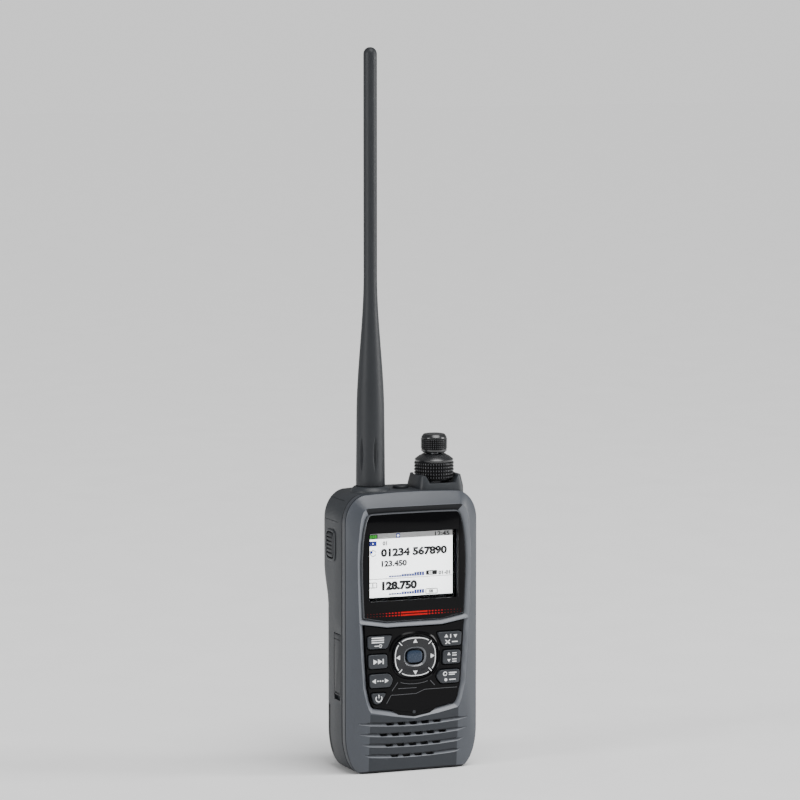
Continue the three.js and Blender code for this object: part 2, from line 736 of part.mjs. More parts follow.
function screw(x, z) {
  const headBack = BAY_FLOOR.back - 0.1;
  const headFront = headBack - SCREW.headHeight;
  const slot = box([x - 1.6, x + 1.6], [headBack - 0.5, headBack + 1], [z - 0.3, z + 0.3]);
  return cut(
    join(post(x, z, SCREW.head, headFront, headBack), post(x, z, SCREW.shank, SCREW.end, headFront + 0.2)),
    slot,
  );
}

function terminalBlock() {
  const block = box([-8.5, 8.5], [0.7, PACK.front - 0.9], [14.4, 19.6]);
  const blades = [-6, -2, 2, 6].map((x) => box([x - 0.8, x + 0.8], [PACK.front - 1, PACK.front - 0.2], [15.4, 18.6]));
  return join(block, ...blades);
}

function socket({ y, z }) {
  const body = box([SOCKET_MOUTH, -MAIN_BOARD.halfWidth + 4], y, z);
  const mouth = box([SOCKET_MOUTH - 1, SOCKET_MOUTH + 7], [y[0] + 0.6, y[1] - 0.6], [z[0] + 0.6, z[1] - 0.6]);
  return cut(body, mouth);
}

// ---------------------------------------------------------------- left side and top

function sideFrame() {
  const { y, z, halfWidth, halfHeight, rim } = SIDE_KEY;
  const face = -CASE.width / 2;
  const loop = (grow) => rectangle(y, z, halfWidth + grow, halfHeight + grow, 2.2 + grow);
  const ring = loft("x", [
    { at: face - 0.6, points: loop(rim - 0.5) },
    { at: face - FIT / 2, points: loop(rim) },
  ]);
  return cut(ring, plate("x", loop(FIT), face - 2, face + 2));
}

function sideButton() {
  const { y, z, halfWidth, halfHeight, proud } = SIDE_KEY;
  const face = -CASE.width / 2;
  const loop = (grow) => rectangle(y, z, halfWidth + grow, halfHeight + grow, 2.2);
  const body = loft("x", [
    { at: face - proud, points: loop(-0.5) },
    { at: face - proud + 0.5, points: loop(0) },
    { at: face + CASE.wall + 0.4, points: loop(0) },
  ]);
  const flange = plate("x", loop(0.8), face + CASE.wall + FIT, face + CASE.wall + 1);
  const ribs = [-3, -1.5, 0, 1.5, 3].map((dz) =>
    box([face - proud - 0.1, face - proud + 0.35], [y - 2.2, y + 2.2], [z + dz - 0.3, z + dz + 0.3]),
  );
  return cut(join(body, flange), ...ribs);
}

function sideSwitch() {
  const face = -CASE.width / 2 + CASE.wall + 1 + SIDE_KEY.travel + 0.1;
  return join(
    box([face + 0.8, -MAIN_BOARD.halfWidth - FIT], [SIDE_KEY.y - 2.6, SIDE_KEY.y + 2.6], [SIDE_KEY.z - 3, SIDE_KEY.z + 3]),
    box([face, face + 1], [SIDE_KEY.y - 1, SIDE_KEY.y + 1], [SIDE_KEY.z - 1, SIDE_KEY.z + 1]),
    box([-22, -MAIN_BOARD.halfWidth - FIT], [MAIN_BOARD.front, SIDE_KEY.y], [SIDE_KEY.z - 3, SIDE_KEY.z + 3]),
  );
}

function sideFlap() {
  const face = -CASE.width / 2;
  const sheet = box([face, face + FLAP.thickness], [FLAP.front, FLAP.back], [FLAP.bottom, FLAP.top]);
  const tongue = box(
    [face + FLAP.thickness - 0.2, face + FLAP.thickness + 0.6],
    [CARD.y[0] + 1, CARD.y[1] - 1],
    [CARD.z[0] + 1, CARD.z[1] - 1],
  );
  return join(sheet, tongue);
}

function jackCap() {
  const top = CASE.height;
  const low = top + 0.15;
  const lid = disc(CAP.radius, low, low + CAP.thickness, 24).translate([CAP_X, CAP.y, 0]);
  const tab = box([CAP_X - 1.2, CAP_X + 1.2], [CAP.y, CAP.hingeY], [low, low + CAP.tab]);
  const plug = disc(CAP.plug, top - 0.6, low + 0.2, 16).translate([CAP_X, CAP.y, 0]);
  return join(lid, tab, plug);
}

function earJack() {
  const body = box([CAP_X - 4, CAP_X + 4], [CAP.y - 4, CAP.y + 4], [CASE.height - 12, CEILING]);
  return cut(body, disc(CAP.plug + 0.3, CASE.height - 11, CASE.height, 16).translate([CAP_X, CAP.y, 0]));
}

// ---------------------------------------------------------------- antenna, about its own axis

const CEILING = CASE.height - CASE.topCrown - CASE.wall - FIT; // what hangs under the top wall starts here
const JACK = { barrel: 3.1, top: CASE.height + 7.6, flange: 5.2, bottom: CASE.height - 11 };
const PLUG = {
  radius: 4.9,
  bore: JACK.barrel + FIT,
  bottom: CASE.height + BOSS.height + 0.5,
  boreTop: JACK.top + 0.8,
  top: CASE.height + 14,
};

function antennaJack() {
  const flangeTop = CEILING;
  return cut(
    turned([
      [0, JACK.bottom],
      [4, JACK.bottom],
      [4, flangeTop - 1.4],
      [JACK.flange, flangeTop - 1.4],
      [JACK.flange, flangeTop],
      [JACK.barrel, flangeTop],
      [JACK.barrel, JACK.top],
      [0, JACK.top],
    ]),
    disc(1.3, JACK.top - 4, JACK.top + 1, 12),
  );
}

const antennaPlug = () =>
  cut(
    disc(PLUG.radius, PLUG.bottom, PLUG.top, 24),
    disc(PLUG.bore, PLUG.bottom - 1, PLUG.boreTop, 24),
  );

const antennaCore = () => disc(ANTENNA.coreRadius, PLUG.top + FIT, ANTENNA.top - 6, 10);

function antennaSheath() {
  const { top, baseRadius, tipRadius, swellTop, swellLow, coreRadius } = ANTENNA;
  const swell = Array.from({ length: 7 }, (_, i) => {
    const share = i / 6;
    const radius = THREE.MathUtils.lerp(baseRadius - 0.25, tipRadius, THREE.MathUtils.smoothstep(share, 0, 1));
    return [radius, THREE.MathUtils.lerp(swellLow, swellTop, share)];
  });
  const bottom = PLUG.bottom - 0.1;
  return turned([
    [PLUG.radius + FIT, bottom],
    [baseRadius, bottom],
    ...swell,
    [tipRadius, top - tipRadius],
    [tipRadius * 0.87, top - tipRadius * 0.5],
    [tipRadius * 0.5, top - tipRadius * 0.13],
    [0, top],
    [0, top - 6 + FIT],
    [coreRadius + FIT, top - 6 + FIT],
    [coreRadius + FIT, PLUG.top + FIT],
    [PLUG.radius + FIT, PLUG.top + FIT],
    [PLUG.radius + FIT, bottom],
  ]);
}

// ---------------------------------------------------------------- knobs, about their own axis

// A knob's outside: [radius, height] pairs, where a third value is the depth of its ribs.
function ribbed(profile, ribs) {
  return loft(
    "z",
    profile.map(([radius, at, depth = 0]) => ({
      at,
      points: Array.from({ length: ribs * 2 }, (_, i) => {
        const angle = (Math.PI * i) / ribs;
        const reach = radius - (i % 2) * depth;
        return dot(reach * Math.cos(angle), reach * Math.sin(angle));
      }),
    })),
  );
}

function tuningKnob() {
  const { tuneRadius, tuneBottom, tuneTop, knurl } = KNOBS;
  const outside = ribbed(
    [
      [tuneRadius - 1, tuneBottom],
      [tuneRadius - 0.2, tuneBottom + 0.9],
      [tuneRadius, tuneBottom + 1, knurl],
      [tuneRadius, tuneTop - 3.2, knurl],
      [tuneRadius - 0.3, tuneTop - 2.9],
      [5.1, tuneTop - 0.5],
      [4.9, tuneTop],
    ],
    24,
  );
  const nutRoom = disc(6.9, tuneBottom - 1, ENCODER.top + 0.5, 24);
  return cut(outside, nutRoom, disc(ENCODER.outerShaft + FIT, tuneBottom - 1, tuneTop + 1, 24));
}

function volumeKnob() {
  const { volumeRadius, volumeBottom, volumeTop, knurl } = KNOBS;
  const outside = ribbed(
    [
      [4.6, volumeBottom],
      [volumeRadius - 0.3, volumeBottom + 0.9],
      [volumeRadius, volumeBottom + 1.3, knurl],
      [volumeRadius, volumeTop - 1.3, knurl],
      [volumeRadius - 0.3, volumeTop - 1],
      [volumeRadius - 1.3, volumeTop],
    ],
    20,
  );
  return cut(outside, disc(ENCODER.innerShaft + FIT, volumeBottom - 1, volumeTop - 1.6, 20));
}

function encoderBody() {
  const low = CASE.height - 12;
  return cut(
    join(box([-5.6, 5.6], [-6, 6], [low, CEILING - 0.5]), disc(ENCODER.bushing, low + 1, ENCODER.top)),
    disc(ENCODER.bore, low + 1, ENCODER.top + 1, 24),
  );
}

const encoderNut = () =>
  cut(
    turned([[0, 0], [6.3, 0], [6.3, 1.9], [0, 1.9]], 6).translate([0, 0, CASE.height + 0.1]),
    disc(ENCODER.bushing + FIT, CASE.height - 1, CASE.height + 3),
  );

const tuningShaft = () =>
  cut(
    disc(ENCODER.outerShaft, CASE.height - 10.7, KNOBS.tuneTop - 1, 24),
    disc(ENCODER.outerBore, CASE.height - 12, KNOBS.tuneTop, 24),
  );

const volumeShaft = () => disc(ENCODER.innerShaft, CASE.height - 10.4, KNOBS.volumeTop - 1.6 - FIT, 20);

// ---------------------------------------------------------------- battery pack

function batteryCase() {
  const { halfWidth, wall, front, bottom, top } = PACK;
  const outside = rearShell().intersect(packSpace(0));
  const inside = box(
    [-halfWidth + wall, halfWidth - wall],
    [front - 1, CASE.back - wall],
    [bottom + 12, top - wall],
  );
  return cut(outside, inside, latchSpace(0.3));
}

// The pocket that the latch slides in, on the outside of the pack.
function latchSpace(gap) {
  const depth = CASE.back - LATCH.thickness;
  return box(
    [-LATCH.halfWidth - gap, LATCH.halfWidth + gap],
    [depth - gap, CASE.back + 1],
    [LATCH.bottom - gap, LATCH.bottom + LATCH.height + (gap ? LATCH.travel + gap : 0)],
  );
}

function batteryLatch() {
  const depth = CASE.back - LATCH.thickness;
  const { halfWidth, bottom, height } = LATCH;
  const body = box([-halfWidth, halfWidth], [depth, CASE.back], [bottom, bottom + height]);
  const ribs = [1.4, 2.8, 4.2, 5.6].map((dz) =>
    box([-halfWidth + 1.5, halfWidth - 1.5], [CASE.back - 0.4, CASE.back + 1], [bottom + dz - 0.3, bottom + dz + 0.3]),
  );
  return cut(body, ...ribs);
}

const batteryCover = () => {
  const { halfWidth, wall, front, bottom, top } = PACK;
  return box([-halfWidth + wall + FIT, halfWidth - wall - FIT], [front + 0.1, front + 1.1], [bottom + 12 + FIT, top - wall - FIT]);
};

const batteryCell = (side) => {
  const { halfWidth, wall, front, bottom, top } = PACK;
  const inner = side * 0.4;
  const outer = side * (halfWidth - wall - 0.6);
  const outline = rectangle(0, 0, Math.abs(outer - inner) / 2, (top - bottom - 15) / 2, 2);
  return plate("y", outline, front + 1.4, CASE.back - wall - FIT).translate([
    (inner + outer) / 2,
    0,
    (top + bottom + 12 - wall) / 2,
  ]);
};

// ---------------------------------------------------------------- assembly

addTo(receiver, "front_case", frontCase(), FINISH.frontCase);
addTo(receiver, "rear_case", rearCase(), FINISH.rearCase);
addTo(receiver, "case_seal", caseSeal(), FINISH.rubber);
addTo(receiver, "display_window", displayWindow(), FINISH.gloss);
addTo(receiver, "display_module", displayModule(), FINISH.screen);
addTo(receiver, "display_ribbon", displayRibbon(), FINISH.brass);
addTo(receiver, "keypad_bezel", keypadBezel(), FINISH.gloss);
addTo(receiver, "keypad_mat", keypadMat(), FINISH.silicone);
addTo(receiver, "keypad_board", keypadBoard(), FINISH.board);
addTo(receiver, "main_board", mainBoard(), FINISH.board);
addTo(receiver, "shield_can", shieldCan(), FINISH.steel);
addTo(receiver, "chassis_frame", chassisFrame(), FINISH.casting);
addTo(receiver, "speaker", speaker(), FINISH.black);
addTo(receiver, "speaker_mesh", speakerMesh(), FINISH.black);
addTo(receiver, "terminal_block", terminalBlock(), FINISH.black);
addTo(receiver, "card_socket", socket(CARD), FINISH.steel);
addTo(receiver, "usb_socket", socket(USB), FINISH.steel);
addTo(receiver, "side_button_frame", sideFrame(), FINISH.rearCase);
addTo(receiver, "side_switch", sideSwitch(), FINISH.black);
addTo(receiver, "ear_jack", earJack(), FINISH.black);
screwPlaces.forEach(([x, z], i) => addTo(receiver, `case_screw_${i + 1}`, screw(x, z), FINISH.steel));

const keys = new THREE.Group();
for (const name of Object.keys(KEYS)) addTo(keys, name, keyCap(name), FINISH.key);
addTo(keys, "dpad_ring", dpadRing(), FINISH.key);
addTo(keys, "dpad_rocker", dpadRocker(), FINISH.silicone);
addTo(keys, "dpad_centre_key", centreKey(), FINISH.key);
addTo(keys, "side_button", sideButton(), FINISH.rubber);
receiver.add(keys);

const covers = new THREE.Group();
addTo(covers, "side_flap", sideFlap(), FINISH.rubber);
addTo(covers, "jack_cap", jackCap(), FINISH.rubber);
receiver.add(covers);

const aerial = new THREE.Group();
aerial.position.x = ANTENNA.x;
addTo(aerial, "antenna_jack", antennaJack(), FINISH.brass);
addTo(aerial, "antenna_plug", antennaPlug(), FINISH.brass);
addTo(aerial, "antenna_core", antennaCore(), FINISH.steel);
addTo(aerial, "antenna_sheath", antennaSheath(), FINISH.rubber);
receiver.add(aerial);

const controls = new THREE.Group();
controls.position.x = KNOBS.x;
addTo(controls, "encoder_body", encoderBody(), FINISH.steel);
addTo(controls, "encoder_nut", encoderNut(), FINISH.steel);
addTo(controls, "tuning_shaft", tuningShaft(), FINISH.steel);
addTo(controls, "volume_shaft", volumeShaft(), FINISH.steel);
addTo(controls, "tuning_knob", tuningKnob(), FINISH.knob);
addTo(controls, "volume_knob", volumeKnob(), FINISH.knob);
receiver.add(controls);

const battery = new THREE.Group();
addTo(battery, "battery_case", batteryCase(), FINISH.black);
addTo(battery, "battery_cover", batteryCover(), FINISH.black);
addTo(battery, "battery_cell_1", batteryCell(-1), FINISH.cell);
addTo(battery, "battery_cell_2", batteryCell(1), FINISH.cell);
addTo(battery, "battery_latch", batteryLatch(), FINISH.black);
receiver.add(battery);

export default receiver;
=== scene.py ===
"""Looks for the handheld airband receiver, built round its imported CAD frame.

Lengths are in millimetres until a mesh is made, then metres. The front looks towards -Y and Z is up.
"""

import json
import math

import bmesh
import bpy
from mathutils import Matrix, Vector


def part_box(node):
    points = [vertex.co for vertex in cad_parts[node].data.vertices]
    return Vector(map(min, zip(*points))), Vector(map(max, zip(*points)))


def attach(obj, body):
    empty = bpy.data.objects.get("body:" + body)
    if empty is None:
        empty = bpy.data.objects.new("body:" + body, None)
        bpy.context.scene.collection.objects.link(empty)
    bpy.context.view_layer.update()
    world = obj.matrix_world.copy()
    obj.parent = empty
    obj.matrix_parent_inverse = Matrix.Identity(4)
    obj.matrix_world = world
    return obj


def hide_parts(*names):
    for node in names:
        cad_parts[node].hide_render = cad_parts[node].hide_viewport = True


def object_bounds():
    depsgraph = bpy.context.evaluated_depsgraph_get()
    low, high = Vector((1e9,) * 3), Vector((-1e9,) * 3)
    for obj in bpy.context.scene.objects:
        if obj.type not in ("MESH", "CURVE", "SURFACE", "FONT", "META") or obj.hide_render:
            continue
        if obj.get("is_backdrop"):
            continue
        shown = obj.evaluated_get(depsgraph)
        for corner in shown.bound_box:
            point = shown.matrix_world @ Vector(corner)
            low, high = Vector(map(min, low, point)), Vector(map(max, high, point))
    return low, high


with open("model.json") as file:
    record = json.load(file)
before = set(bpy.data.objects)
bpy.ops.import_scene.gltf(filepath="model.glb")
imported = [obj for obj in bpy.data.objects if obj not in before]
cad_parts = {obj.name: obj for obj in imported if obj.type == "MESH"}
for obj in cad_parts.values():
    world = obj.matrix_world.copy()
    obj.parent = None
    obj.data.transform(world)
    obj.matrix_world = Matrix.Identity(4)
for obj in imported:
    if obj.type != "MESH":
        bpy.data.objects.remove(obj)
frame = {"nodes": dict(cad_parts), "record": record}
cad_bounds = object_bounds()

MM = 0.001
RADIO = "radio"


# --- places taken from the frame


def box_mm(node):
    low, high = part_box(node)
    return [v / MM for v in low], [v / MM for v in high]


def middle_of(node):
    return [(low + high) / 2 for low, high in zip(*box_mm(node))]


def half_of(node):
    return [(high - low) / 2 for low, high in zip(*box_mm(node))]


(_, CREST, _), (HALF_WIDTH, PARTING, HEIGHT) = box_mm("front_case")
(_, REAR_FRONT, _), (_, BACK, _) = box_mm("rear_case")
(_, PANEL_FRONT, _), (_, PANEL_BACK, _) = box_mm("keypad_bezel")
(_, KEY_FACE, _), _ = box_mm("key_menu")
(_, PACK_FRONT, PACK_BOTTOM), (_, _, PACK_TOP) = box_mm("battery_case")
PACK_HALF = 26
BEVEL_EDGE = -12
FIT = 0.3

(_, _, TUNE_BOTTOM), (_, _, TUNE_TOP) = box_mm("tuning_knob")
(_, _, VOLUME_BOTTOM), (_, _, VOLUME_TOP) = box_mm("volume_knob")
(_, _, ANTENNA_BOTTOM), (_, _, ANTENNA_TOP) = box_mm("antenna_sheath")
(_, RING_FACE, _), (_, RING_BACK, _) = box_mm("dpad_ring")
KNOB_X, _, _ = middle_of("tuning_knob")
TUNE_RADIUS, _, _ = half_of("tuning_knob")
VOLUME_RADIUS, _, _ = half_of("volume_knob")
ANTENNA_X, _, _ = middle_of("antenna_sheath")
ANTENNA_RADIUS, _, _ = half_of("antenna_sheath")
_, _, PAD_Z = middle_of("dpad_ring")


# --- outlines


def lerp(a, b, share):
    return a + (b - a) * share


def smoothstep(low, high, value):
    share = min(1, max(0, (value - low) / (high - low)))
    return share * share * (3 - 2 * share)


def arc(x, z, radius_x, radius_z, start, end, steps):
    angles = [math.radians(lerp(start, end, i / steps)) for i in range(steps + 1)]
    return [(x + radius_x * math.cos(a), z + radius_z * math.sin(a)) for a in angles]


def mirrored(half):
    """The right half of an outline, top to bottom, with its mirror image."""
    return list(half) + [(-x, z) for x, z in reversed(half) if x > 1e-6]


def rounded(corners, radius, steps=4):
    """A polygon with each corner replaced by a curve."""
    made = []
    for i, corner in enumerate(corners):
        corner = Vector(corner)
        before = (Vector(corners[i - 1]) - corner).normalized() * radius
        after = (Vector(corners[(i + 1) % len(corners)]) - corner).normalized() * radius
        for step in range(steps + 1):
            t = step / steps
            point = (corner + before) * (1 - t) ** 2 + corner * 2 * t * (1 - t) + (corner + after) * t**2
            made.append(tuple(point))
    return made


def rectangle(x, z, half_width, half_height, radius=0.0, steps=4):
    signs = ((-1, -1), (1, -1), (1, 1), (-1, 1))
    corners = [(x + i * half_width, z + k * half_height) for i, k in signs]
    return rounded(corners, radius, steps) if radius else corners


def full_turn(steps):
    return [2 * math.pi * i / steps for i in range(steps)]


def on_superellipse(z, half_width, half_height, power, angle):
    across, up = [math.copysign(abs(v) ** (2 / power), v) for v in (math.cos(angle), math.sin(angle))]
    return half_width * across, z + half_height * up


def superellipse(z, half_width, half_height, power, steps=64):
    return [on_superellipse(z, half_width, half_height, power, a) for a in full_turn(steps)]


def shrink(outline, distance):
    """The outline drawn in by a distance, with its corners mitred."""
    area = sum(a[0] * b[1] - b[0] * a[1] for a, b in zip(outline, outline[1:] + outline[:1]))
    turn = 1 if area > 0 else -1
    made = []
    for i, point in enumerate(outline):
        before = (Vector(point) - Vector(outline[i - 1])).normalized()
        after = (Vector(outline[(i + 1) % len(outline)]) - Vector(point)).normalized()
        first = Vector((-before.y, before.x)) * turn
        second = Vector((-after.y, after.x)) * turn
        mitre = (first + second).normalized()
        made.append(tuple(Vector(point) + mitre * (distance / max(0.5, mitre.dot(first)))))
    return made


def cross(a, b, c):
    return (b[0] - a[0]) * (c[1] - a[1]) - (b[1] - a[1]) * (c[0] - a[0])


def front_outline(node, depth):
    """The outline of a CAD node at a depth, which must be convex."""
    places = [[v / MM for v in vertex.co] for vertex in frame["nodes"][node].data.vertices]
    points = sorted({(round(x, 4), round(z, 4)) for x, y, z in places if abs(y - depth) < 0.01})

    def chain(ordered):
        hull = []
        for point in ordered:
            while len(hull) > 1 and cross(hull[-2], hull[-1], point) <= 1e-6:
                hull.pop()
            hull.append(point)
        return hull[:-1]

    return chain(points) + chain(points[::-1])


# --- meshes


def place(axis, point, at):
    u, v = point
    return {"x": (at, u, v), "y": (u, at, v), "z": (u, v, at)}[axis]


def add_object(name, data):
    made = bpy.data.objects.new(name, data)
    bpy.context.scene.collection.objects.link(made)
    return made


def new_object(name, points, faces):
    mesh = bpy.data.meshes.new(name)
    mesh.from_pydata([Vector(p) * MM for p in points], [], faces)
    shape = bmesh.new()
    shape.from_mesh(mesh)
    bmesh.ops.remove_doubles(shape, verts=shape.verts, dist=1e-7)
    bmesh.ops.recalc_face_normals(shape, faces=shape.faces)
    shape.to_mesh(mesh)
    shape.free()
    return add_object(name, mesh)


def loft(name, rings, closed=False):
    """A solid through rings of 3-D points of equal length; a closed one joins its last ring to its first."""
    count = len(rings[0])
    points = [point for ring in rings for point in ring]
    faces = []
    for k in range(len(rings) if closed else len(rings) - 1):
        low = k * count
        high = (k + 1) % len(rings) * count
        faces += [(low + i, low + (i + 1) % count, high + (i + 1) % count, high + i) for i in range(count)]
    if not closed:
        last = (len(rings) - 1) * count
        faces += [tuple(range(count)), tuple(last + i for i in reversed(range(count)))]
    return new_object(name, points, faces)


def stack(name, axis, sections, closed=False):
    """A loft of flat outlines across an axis, each given as (place along the axis, outline)."""
    return loft(name, [[place(axis, p, at) for p in outline] for at, outline in sections], closed)


def plate(name, axis, outline, low, high):
    return stack(name, axis, [(low, outline), (high, outline)])


def block(name, xs, ys, zs):
    return plate(name, "y", [(xs[0], zs[0]), (xs[1], zs[0]), (xs[1], zs[1]), (xs[0], zs[1])], *ys)


def turned(name, profile, x=0.0, segments=64):
    """A piece turned about an upright axis, from a profile of (radius, height) that starts and ends on it."""
    points = [(x + r * math.cos(a), r * math.sin(a), z) for r, z in profile for a in full_turn(segments)]
    faces = []
    for low in range(0, (len(profile) - 1) * segments, segments):
        high = low + segments
        pairs = [(i, (i + 1) % segments) for i in range(segments)]
        faces += [(low + i, low + j, high + j, high + i) for i, j in pairs]
    return new_object(name, points, faces)


def modify(made, kind, **settings):
    modifier = made.modifiers.new(kind, kind)
    for key, value in settings.items():
        setattr(modifier, key, value)


def settle(made):
    """Applies the modifiers."""
    graph = bpy.context.evaluated_depsgraph_get()
    mesh = bpy.data.meshes.new_from_object(made.evaluated_get(graph))
    made.modifiers.clear()
    made.data = mesh
    return made


def bevel(made, width, segments=3, angle=30):
    limit = {"limit_method": "ANGLE", "angle_limit": math.radians(angle), "use_clamp_overlap": True}
    modify(made, "BEVEL", width=width * MM, segments=segments, miter_outer="MITER_ARC", **limit)
    return settle(made)


def boolean(made, others, operation):
    for other in others:
        modify(made, "BOOLEAN", object=other, operation=operation, solver="EXACT")
        settle(made)
        bpy.data.objects.remove(other)
    return made


def cut(made, *tools):
    return boolean(made, tools, "DIFFERENCE")


def unite(made, *others):
    return boolean(made, others, "UNION")


def finish(made, body, slot, *replaced, material=None, angle=32):
    """Shades a piece and gives it its material, the slot's look unless one is given, and its body, and hides
    the CAD nodes that it stands for.
    """
    made.data.polygons.foreach_set("use_smooth", [True] * len(made.data.polygons))
    made.data.set_sharp_from_angle(angle=math.radians(angle))
    made.data.materials.clear()
    made.data.materials.append(material or LOOK[slot])
    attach(made, body)
    if replaced:
        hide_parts(*replaced)


def paint(made, material, chosen):
    """Gives a second material to the faces that a test picks by their middle, in millimetres, and normal."""
    made.data.materials.append(material)
    index = len(made.data.materials) - 1
    for face in made.data.polygons:
        if chosen(*(face.center / MM), face.normal):
            face.material_index = index


DIGIT_SHARE = 0.73  # the height of a digit, as a share of the size of the type


class Print:
    """Thin flat marks that face the front, gathered into one mesh."""

    def __init__(self, name, face, thickness=0.04):
        self.name = name
        self.front = face - thickness
        self.back = face + 0.03
        self.points = []
        self.faces = []

    def sheet(self, outline, faces, edges):
        """The faces at the front and the back, and a wall along each of the edges."""
        start, count = len(self.points), len(outline)
        self.points += [(x, y, z) for y in (self.front, self.back) for x, z in outline]
        for face in faces:
            self.faces.append(tuple(start + i for i in face))
            self.faces.append(tuple(start + count + i for i in reversed(face)))
        self.faces += [(start + a, start + b, start + count + b, start + count + a) for a, b in edges]

    def polygon(self, outline):
        ring = range(len(outline))
        self.sheet(outline, [ring], [(i, (i + 1) % len(outline)) for i in ring])

    def bar(self, x0, x1, z0, z1):
        self.polygon([(x0, z0), (x1, z0), (x1, z1), (x0, z1)])

    def line(self, path, width):
        for start, end in zip(path, path[1:]):
            along = (Vector(end) - Vector(start)).normalized()
            across = Vector((-along.y, along.x)) * width / 2
            low, high = Vector(start) - along * width / 4, Vector(end) + along * width / 4
            self.polygon([tuple(p) for p in (low - across, high - across, high + across, low + across)])

    def strip(self, path, width):
        """A line of even width along a smooth path."""
        sides = []
        for i, point in enumerate(path):
            along = (Vector(path[min(i + 1, len(path) - 1)]) - Vector(path[max(i - 1, 0)])).normalized()
            across = Vector((-along.y, along.x)) * width / 2
            sides.append((tuple(Vector(point) + across), tuple(Vector(point) - across)))
        self.polygon([left for left, _ in sides] + [right for _, right in reversed(sides)])

    def text(self, words, x, z, height, bold=0.02, width=None):
        """Numerals with their left end and foot at a place, fitted to a width if one is given."""
        curve = bpy.data.curves.new("text", "FONT")
        curve.body = words
        curve.size = height / DIGIT_SHARE
        curve.offset = bold * height
        curve.resolution_u = 3
        made = add_object("text", curve)
        graph = bpy.context.evaluated_depsgraph_get()
        graph.update()
        mesh = bpy.data.meshes.new_from_object(made.evaluated_get(graph))
        xs = [v.co.x for v in mesh.vertices]
        scale = width / (max(xs) - min(xs)) if width else 1
        outline = [(x + (v.co.x - min(xs)) * scale, z + v.co.y) for v in mesh.vertices]
        rings = [list(face.vertices) for face in mesh.polygons]
        edges = [edge for ring in rings for edge in zip(ring, ring[1:] + ring[:1])]
        inner_edges = {(b, a) for a, b in edges}
        self.sheet(outline, rings, [edge for edge in edges if edge not in inner_edges])
        bpy.data.objects.remove(made)
        bpy.data.curves.remove(curve)
        bpy.data.meshes.remove(mesh)

    def build(self, body, material, slot):
        made = new_object(self.name, self.points, self.faces)
        finish(made, body, slot, material=material, angle=20)


# --- materials


def nodes_of(name):
    material = bpy.data.materials.new(name)
    material.use_nodes = True
    tree = material.node_tree
    return material, tree, tree.nodes["Principled BSDF"]


def set_inputs(tree, node, inputs):
    """Sets each input to a value, or links it to another node's output."""
    for name, value in inputs.items():
        if isinstance(value, bpy.types.NodeSocket):
            tree.links.new(value, node.inputs[name])
        else:
            node.inputs[name].default_value = value


def add_node(tree, kind, output, inputs, **settings):
    made = tree.nodes.new("ShaderNode" + kind)
    for key, value in settings.items():
        setattr(made, key, value)
    set_inputs(tree, made, inputs)
    return made.outputs[output]


def shade(color, factor):
    return tuple(min(1, c * factor) for c in color) + (1,)


def noise(tree, scale, detail=2.0, stretch=(1, 1, 1)):
    place_in_object = add_node(tree, "TexCoord", "Object", {})
    vector = add_node(tree, "Mapping", "Vector", {"Vector": place_in_object, "Scale": stretch})
    return add_node(tree, "TexNoise", "Fac", {"Vector": vector, "Scale": scale, "Detail": detail})


NOISE_RANGE = (0.3, 0.7)  # where nearly all values of a noise lie


def ramp(tree, value, low, high):
    made = tree.nodes.new("ShaderNodeValToRGB")
    for element, position, color in zip(made.color_ramp.elements, NOISE_RANGE, (low, high)):
        element.position = position
        element.color = color
    set_inputs(tree, made, {"Fac": value})
    return made.outputs["Color"]


def spread(tree, value, low, high):
    start, end = NOISE_RANGE
    limits = {"From Min": start, "From Max": end, "To Min": low, "To Max": high}
    return add_node(tree, "MapRange", "Result", {"Value": value, **limits})


def surface(
    name,
    color,
    roughness,
    grain=3500,
    bump=0.15,
    variation=0.08,
    rough_variation=0.06,
    metallic=0.0,
    stretch=(1, 1, 1),
    specular=0.5,
):
    """A moulded or machined surface: slow colour drift, uneven gloss and a fine grain."""
    material, tree, shader = nodes_of(name)
    drift = noise(tree, 55, 3, stretch)
    fine = noise(tree, grain, 3, stretch)
    half = add_node(tree, "Math", "Value", {0: drift, 1: 0.4}, operation="MULTIPLY")
    both = add_node(tree, "Math", "Value", {0: fine, 1: 0.6, 2: half}, operation="MULTIPLY_ADD")
    relief = {"Strength": bump, "Distance": 0.00006, "Height": fine}
    looks = {
        "Base Color": ramp(tree, both, shade(color, 1 - 1.6 * variation), shade(color, 1 + 1.6 * variation)),
        "Roughness": spread(tree, fine, roughness - rough_variation, roughness + rough_variation),
        "Normal": add_node(tree, "Bump", "Normal", relief),
        "Metallic": metallic,
        "Specular IOR Level": specular,
    }
    set_inputs(tree, shader, looks)
    return material


def lit(name, color, strength):
    """A part of the lit display, with a faint grid of pixels."""
    material, tree, shader = nodes_of(name)
    tint = ramp(tree, noise(tree, 6000, 0), shade(color, 0.95), shade(color, 1.0))
    looks = {"Base Color": tint, "Emission Color": tint, "Emission Strength": strength, "Roughness": 0.4}
    set_inputs(tree, shader, looks)
    return material


def board_material():
    material, tree, shader = nodes_of("circuit board")
    tracks = {
        "Vector": add_node(tree, "TexCoord", "Object", {}),
        "Scale": 250,
        "Mortar Size": 0.03,
        "Color1": (0.01, 0.09, 0.03, 1),
        "Color2": (0.012, 0.11, 0.04, 1),
        "Mortar": (0.03, 0.2, 0.07, 1),
    }
    set_inputs(tree, shader, {"Base Color": add_node(tree, "TexBrick", "Color", tracks), "Roughness": 0.4})
    return material


def glass_material():
    material, tree, shader = nodes_of("clear glass")
    tint = ramp(tree, noise(tree, 40, 2), (0.97, 0.98, 0.98, 1), (1, 1, 1, 1))
    set_inputs(tree, shader, {"Base Color": tint, "Roughness": 0, "Transmission Weight": 1, "IOR": 1.08})
    return material


